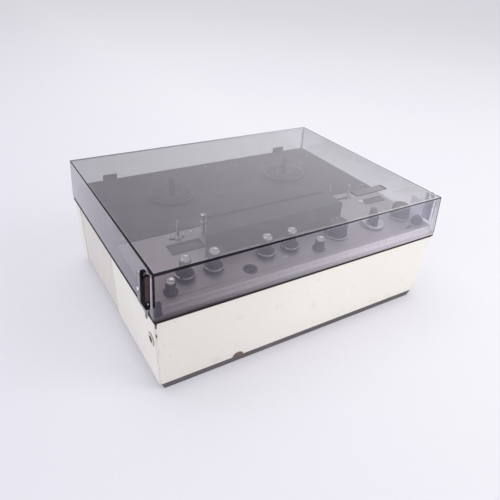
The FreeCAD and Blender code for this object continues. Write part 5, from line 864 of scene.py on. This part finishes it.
# %% Transport lever
def lever_bar(length, thick, low, high):
    """A bar with rounded ends and a hollow in both flanks."""
    work = bmesh.new()
    bmesh.ops.create_cube(work, size=1.0)
    lengthwise = [e for e in work.edges if abs(e.verts[0].co.y - e.verts[1].co.y) > 0.5]
    bmesh.ops.subdivide_edges(work, edges=lengthwise, cuts=8)
    for vert in work.verts:
        along, up = vert.co.y * 2, vert.co.z + 0.5
        narrow = 1.0 - 0.12 * (1 - along * along)
        reach = along * (length / 2 - 2.6 * up * up)
        vert.co = Vector((vert.co.x * thick * narrow, reach, low + (high - low) * up)) * MM
    bmesh.ops.bevel(work, geom=[e for e in work.edges if e.calc_face_angle(0) > 0.9], offset=0.8 * MM, segments=3,
                    affect="EDGES", profile=0.6)
    for face in work.faces:
        face.smooth = True
    return to_mesh(work)


LEVER_TURN = Matrix.Rotation(math.radians(-33.0), 4, "Z")
lever_outline = [(0, -12.2), (3.0, -12.2), (3.0, 1.1), (15.9, 1.1), (16.5, 1.7), (16.5, 4.9), (16.1, 5.7), (15.4, 6.0),
                 (14.8, 5.9), (14.6, 5.6), (14.2, 5.5, 1), (0, 5.5, 1)]
place = on_panel(*TRANSPORT)
piece("transport_handle", "transport_lever", [
    (lathe(lever_outline, 96), place, [chrome, knob_aluminium]),
    ring(rib(0.8, 1.9, 4.6), chrome, place, 60, 16.4),
    (lever_bar(28.0, 8.0, 5.2, 22.0), place @ LEVER_TURN, [knob_moulding]),
    (block((0.5, 7.0, 0.2), (0, 7.0, 22.0)), place @ LEVER_TURN, [knob_aluminium])], ["transport_lever"])

# %% [markdown]
# ## Marks on the panel
#
# Each knob turns against a scale of short dark lines. A line is a flat block only a twentieth of a
# millimetre high, and the circle recipe fans it out over the knob's own range.

# %% Scales
def scale(x, y, radius, length, count, reach, bold=0.45):
    """Ticks over a range of degrees on both sides of straight ahead."""
    tick = block((length, bold, 0.05), (length / 2, 0, 0.03))
    return ring(tick, print_ink, on_panel(x, y), count, radius, 90.0 - reach, 2.0 * reach / (count - 1))


scales = [scale(x, MIXER_Y, 13.3, 1.9, 11, 140) for x in MIXER_XS]
scales += [scale(x, y, 9.8, 1.5, 9, 140) for x, y in TONE_PLACES.values()]
scales += [scale(*SELECTOR, 18.0, 2.6, 6, 75, 0.6), scale(*VOLUME, 17.0, 2.2, 11, 140),
           scale(*TRANSPORT, 18.0, 3.0, 5, 60, 0.6)]
piece("panel_scales", "root", scales)
print("scales:", len(scales))

# %% [markdown]
# ## Screws, studs and rivets
#
# The imported model holds the fasteners as plain turned shapes. Here each screw gets its slot: the
# head is a turned shape, and a narrow dark block lies across it as painted shade for the slot. The
# strap studs on the sides are pale flat rings round a hollow painted black as shade, with rust at
# the rim. What stands on a side is drawn for the right one and mirrored for the left, and mirroring
# turns a mesh inside out, so we turn it back.

# %% Screws
SCREW_X, PANEL_SCREW_Y = 201.0, -37.0
screw_outline = [(0, -3.0), (1.25, -3.0), (1.25, 0), (2.5, 0), (2.5, 0.3), (2.3, 0.6), (1.9, 0.8), (1.2, 0.92),
                 (0, 0.95)]
# The dark block across a screw head is painted shade for its slot.
slot = block((4.2, 0.6, 0.12), (0, 0, 0.93))
deck_spots = [(x * MM, y * MM, 0.1353) for x in (-SCREW_X, 0.0, SCREW_X) for y in (-22.0, 148.0)]
along_panel = (PANEL_SCREW_Y + 32.0) / math.cos(PANEL_TILT) * MM
panel_spots = [(x * MM, along_panel, 0.0) for x in (-SCREW_X, -144.8, -112.8, 0.0, SCREW_X)]
head = lathe(screw_outline, 28)
level = Matrix.Identity(4)
fasteners = []
for spots, place, seed in ((deck_spots, level, 3), (panel_spots, panel_slope, 11)):
    fasteners += [scatter(head, plated_steel, place, spots, seed), scatter(slot, print_ink, place, spots, seed)]
rivet_outline = [(0, -1.5), (1.0, -1.5), (1.0, 0.1), (0.9, 0.35), (0.5, 0.5), (0, 0.55)]
# The two rivets on the panel are bright as a painted highlight.
for x in (-28.5, -32.0):
    fasteners.append((lathe(rivet_outline, 20), on_panel(x, -139.5, 0.2), [rivet_metal]))

# %% Strap studs and catches
def set_down(mesh, place, side):
    """Work a place on the right side into a mesh, and mirror it where side is -1."""
    mesh.transform(Matrix.Diagonal((side, 1, 1, 1)) @ place)
    if side < 0:
        mesh.flip_normals()


CASE_TILT = math.atan2(3.1, 98.7)
case_side = Matrix.Translation((0.2125, 0, 0.0135)) @ Matrix.Rotation(CASE_TILT, 4, "Y")
outward = Matrix.Rotation(math.radians(90), 4, "Y")
# The middle of a stud is painted black as shade.
stud_outline = [(0, -12.0), (3.0, -12.0), (3.0, 0), (8.6, 0), (8.6, 0.3), (8.2, 0.9, 2), (7.6, 1.0), (4.4, 1.0),
                (4.1, 0.3, 1), (2.6, 0.2, 1), (2.2, 0.8, 1), (0, 1.0, 1)]
catch_outline = [(0, -6.0), (1.8, -6.0), (1.8, 1.0), (1.5, 1.4), (0, 1.4)]
for side in (1, -1):
    for outline, steps, y, up, finishes in (
            (stud_outline, 40, -0.1475, 0.0620, [worn_ring, print_ink, rusty_screw]),
            (catch_outline, 20, -0.1335, 0.09635, [plated_steel])):
        mesh = lathe(outline, steps)
        set_down(mesh, case_side @ Matrix.Translation((0, y, up)) @ outward, side)
        fasteners.append((mesh, level, finishes))
piece("fasteners", "root", fasteners, ["studs_and_screws"])
print("fasteners:", len(fasteners), "groups")

# %% [markdown]
# ## Meter and counter
#
# Behind the meter's pane lies a card with an arc of lines for the needle, the last ones red. The
# counter's wheels carry numbers. Text is made a mesh first, and each point is then bent round the
# wheel: its height on the page becomes an angle.

# %% Meter card
METER_X, METER_PIVOT, DIAL = -134.8, -53.04, -7.7
card = block((39.0, 28.0, 0.25), (METER_X, METER_PIVOT + 9.8, DIAL - 0.13))
tick, last = block((1.8, 0.35, 0.05), (0.9, 0, 0)), block((2.4, 0.5, 0.05), (1.2, 0, 0))
middle = panel_slope @ Matrix.Translation((METER_X * MM, METER_PIVOT * MM, (DIAL + 0.05) * MM))
piece("meter_card", "root", [
    (card, panel_slope, [dial_card]),
    ring(tick, print_ink, middle, 7, 20.2, 114.0, -5.0),
    ring(last, red_ink, middle, 4, 20.2, 78.0, -4.0),
    ring(block((0.35, 1.8, 0.05)), print_ink, middle, 18, 19.9, 114.0, -2.8)])

# %% Numbers on the counter's wheels
WHEEL_AXIS, WHEEL_RADIUS = Vector((0.0, -0.068554, 0.122933)), 7.5


def numeral(digit, height):
    """The flat mesh of one digit, centred, in millimetres."""
    curve = bpy.data.curves.new("numeral", "FONT")
    curve.body, curve.size, curve.align_x, curve.align_y = str(digit), height, "CENTER", "CENTER"
    return worked_out(in_scene("numeral", curve))


for wheel, x in (("units_wheel", 194.0), ("tens_wheel", 184.5), ("hundreds_wheel", 175.0)):
    digits = []
    out = (WHEEL_RADIUS + 0.04) * MM
    for digit in range(10):
        mesh = numeral(digit, 5.6)
        for vert in mesh.vertices:
            bend = math.radians(36 * digit) + vert.co.y / WHEEL_RADIUS
            vert.co = WHEEL_AXIS + Vector((x * MM + vert.co.x * MM, out * math.sin(bend), out * math.cos(bend)))
        digits.append((mesh, level, [white_ink]))
    piece(f"{wheel}_numbers", wheel, digits)

# %% [markdown]
# ## Sockets
#
# A round socket holds five contacts on a half circle. One thin sleeve, set out by the circle
# recipe, makes them all.

# %% Contacts
contact = lathe([(0, 0), (0.75, 0), (0.75, 4.6), (0.5, 5.0), (0, 5.0)], 14)
case_back = Matrix.Translation((0, 0.1619, 0.0135)) @ Matrix.Rotation(-CASE_TILT, 4, "X")
backward = Matrix.Rotation(math.radians(-90), 4, "X")
sockets = [on_panel(-85.0, -143.0, -6.2)]
sockets += [case_back @ Matrix.Translation((x * MM, -0.0062, 0.040)) @ backward for x in (141.0, 117.0, 93.0, 69.0)]
piece("socket_contacts", "root", [ring(contact, head_metal, place, 5, 3.6, 0.0, 45.0) for place in sockets])

# %% [markdown]
# ## Turntables
#
# Each turntable carries a rubber mat with fine ribs, which keep a reel from slipping.

# %% Mats
mat_outline = [(28.0, 0), (28.2, 0.25), (27.9, 0.5), (12.2, 0.5), (11.9, 0.2), (11.9, 0.0)]
for side, x in (("supply", -97.0), ("takeup", 103.0)):
    place = Matrix.Translation((x * MM, 0.064, 0.1410))
    ribs = ring(block((12.5, 0.7, 0.35), (0, 0, 0.55), 0.12), rubber, place, 36, 20.2)
    piece(f"{side}_mat", f"{side}_turntable", [(lathe(mat_outline, 72), place, [rubber]), ribs])
print("faces in the ribs of a mat:", len(ribs[0].polygons))

# %% [markdown]
# ## Latches
#
# A latch hangs on an ear at the top of the cover's side. Its parts are prisms: an outline drawn in
# two directions and pulled along the third. They are drawn against a wall that stands upright, and
# one matrix leans them against the cover's wall. The right latch stands a little further back.

# %% Prisms
def prism(outline, axis, start, end, bevel=0.0):
    """An outline, in millimetres, pulled along an axis (0 or 1) from start to end."""
    work = bmesh.new()
    corners = [Vector((start, a, b) if axis == 0 else (a, start, b)) * MM for a, b in outline]
    face = work.faces.new([work.verts.new(corner) for corner in corners])
    pulled = bmesh.ops.extrude_face_region(work, geom=[face])
    shift = [0.0, 0.0, 0.0]
    shift[axis] = (end - start) * MM
    bmesh.ops.translate(work, vec=shift, verts=[v for v in pulled["geom"] if isinstance(v, bmesh.types.BMVert)])
    if bevel:
        bmesh.ops.bevel(work, geom=work.edges, offset=bevel * MM, segments=2, affect="EDGES", profile=0.6)
    bmesh.ops.recalc_face_normals(work, faces=work.faces)
    return to_mesh(work)


# %% Bead below the panel's lip
bead = prism([(-163.2, 119.05), (-161.65, 119.05), (-161.65, 123.0)], 0, -205, 210.5)
piece("lip_bead", "root", [(bead, level, [panel])])

# %% Two latches
cover_side = Matrix.Translation((COVER_X, 0, COVER_FOOT)) @ Matrix.Rotation(-math.atan2(2.2, 56.3), 4, "Y")
grip = [(0.3, 12.5), (1, 12), (6.2, 12), (7, 13), (7, 45.6), (0.3, 45.6)]
lug = [(0.3, 45.6), (7, 45.6), (7, 51.9), (6.4, 53.3), (5, 53.9), (3.2, 53.9), (1.2, 53.1), (0.3, 51)]
hook = [(-150, -9), (-145.5, -9), (-145.5, -4.5), (-142.5, -2.5), (-124, -2.5), (-121.5, 0), (-121.5, 35),
        (-124, 38), (-150, 38)]
pin_outline = [(0, -6.0), (1.3, -6.0), (1.3, 6.0), (0, 6.0)]
rivet_outline = [(0, 0), (2.6, 0), (2.6, 0.6), (1.9, 1.3), (0, 1.5)]
for name, side, back in (("left_latch", -1, 0.0), ("right_latch", 1, 9.0)):
    pin, rivet = lathe(pin_outline, 16), lathe(rivet_outline, 20)
    pin.transform(Matrix.Translation((0.0032, -0.1535, 0.051)) @ Matrix.Rotation(math.radians(90), 4, "X"))
    rivet.transform(Matrix.Translation((0.0018, -0.1262, 0.016)) @ outward)
    shapes = [(prism(grip, 1, -161, -146, 0.4), latch), (prism(lug, 1, -161, -156), latch),
              (prism(lug, 1, -151, -146), latch), (prism(hook, 0, 0.3, 1.8, 0.2), hook_finish),
              (pin, plated_steel), (rivet, rivet_metal)]
    for mesh, _ in shapes:
        set_down(mesh, Matrix.Translation((0, back * MM, 0)) @ cover_side, side)
    piece(f"{name}_body", name, [(mesh, level, [finish]) for mesh, finish in shapes], [name])

# %% [markdown]
# ## A plate on the cover
#
# A small bare plate lies on the cover near its right front corner, with a dark strip of painted
# shade at its end.

# %% Plate on the cover
plate_metal = brushed("plate_metal", (0.42, 0.395, 0.43), 0.40, (8.0, 700.0, 700.0), 0.00002, metallic=0.8)
plate = block((57.0, 14.0, 0.9), (132.5, -103.0, COVER_TOP / MM + 0.45), 0.3)
# Painted shade: a dark strip at the plate's end.
plate_end_shade = block((1.3, 13.0, 0.25), (159.5, -103.0, COVER_TOP / MM + 0.95), 0.05)
piece("cover_plate", "dust_cover", [(plate, level, [plate_metal]), (plate_end_shade, level, [print_ink])])

# %% [markdown]
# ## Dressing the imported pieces
#
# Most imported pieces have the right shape, so they only need a finish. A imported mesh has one
# material slot, which we fill. The table also names knobs and screws that a new piece stands for.

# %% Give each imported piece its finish
DRESS = {
    lacquer: "case_shell",
    grille: "left_grille right_grille",
    cone_paper: "loudspeakers",
    pan_enamel: "bottom_pan",
    rubber: "rubber_feet pinch_roller drive_belt",
    plated_steel: "studs_and_screws hinge_leaves hinge_pins guide_posts left_tension_arm right_tension_arm",
    blackened_steel: "cover_hinge_straps",
    rim_finish: "chassis_rim",
    black_moulding: "level_meter counter_frame units_wheel tens_wheel hundreds_wheel",
    zinc_steel: "chassis_plate connector_plate pinch_arm control_pots",
    deck_enamel: "deck_plate",
    panel: "control_panel",
    socket_moulding: "din_sockets mains_inlet",
    smoke: "dust_cover",
    turntable_moulding: "supply_turntable takeup_turntable",
    bearing_brass: "spindle_bearings motor_pulley",
    head_metal: "tape_heads",
    hood_moulding: "head_cover",
    flywheel_metal: "flywheel",
    motor_enamel: "drive_motor",
    varnish: "transformer",
    board_resin: "amplifier_board",
    needle_paint: "meter_needle",
    clear_pane: "display_windows",
    key_plastic: "reset_button",
    knob_moulding: "slide_switch power_button bass_knob treble_knob selector_knob transport_lever volume_knob "
                   "mixer_cap_1 mixer_cap_2 mixer_cap_3 mixer_cap_4",
    chrome: "mixer_ring_1 mixer_ring_2 mixer_ring_3 mixer_ring_4",
}
for finish, names in DRESS.items():
    for name in names.split():
        mesh = nodes[name].data
        mesh.materials.clear()
        mesh.materials.append(finish.material)
print(len(Finish.made), "finishes")
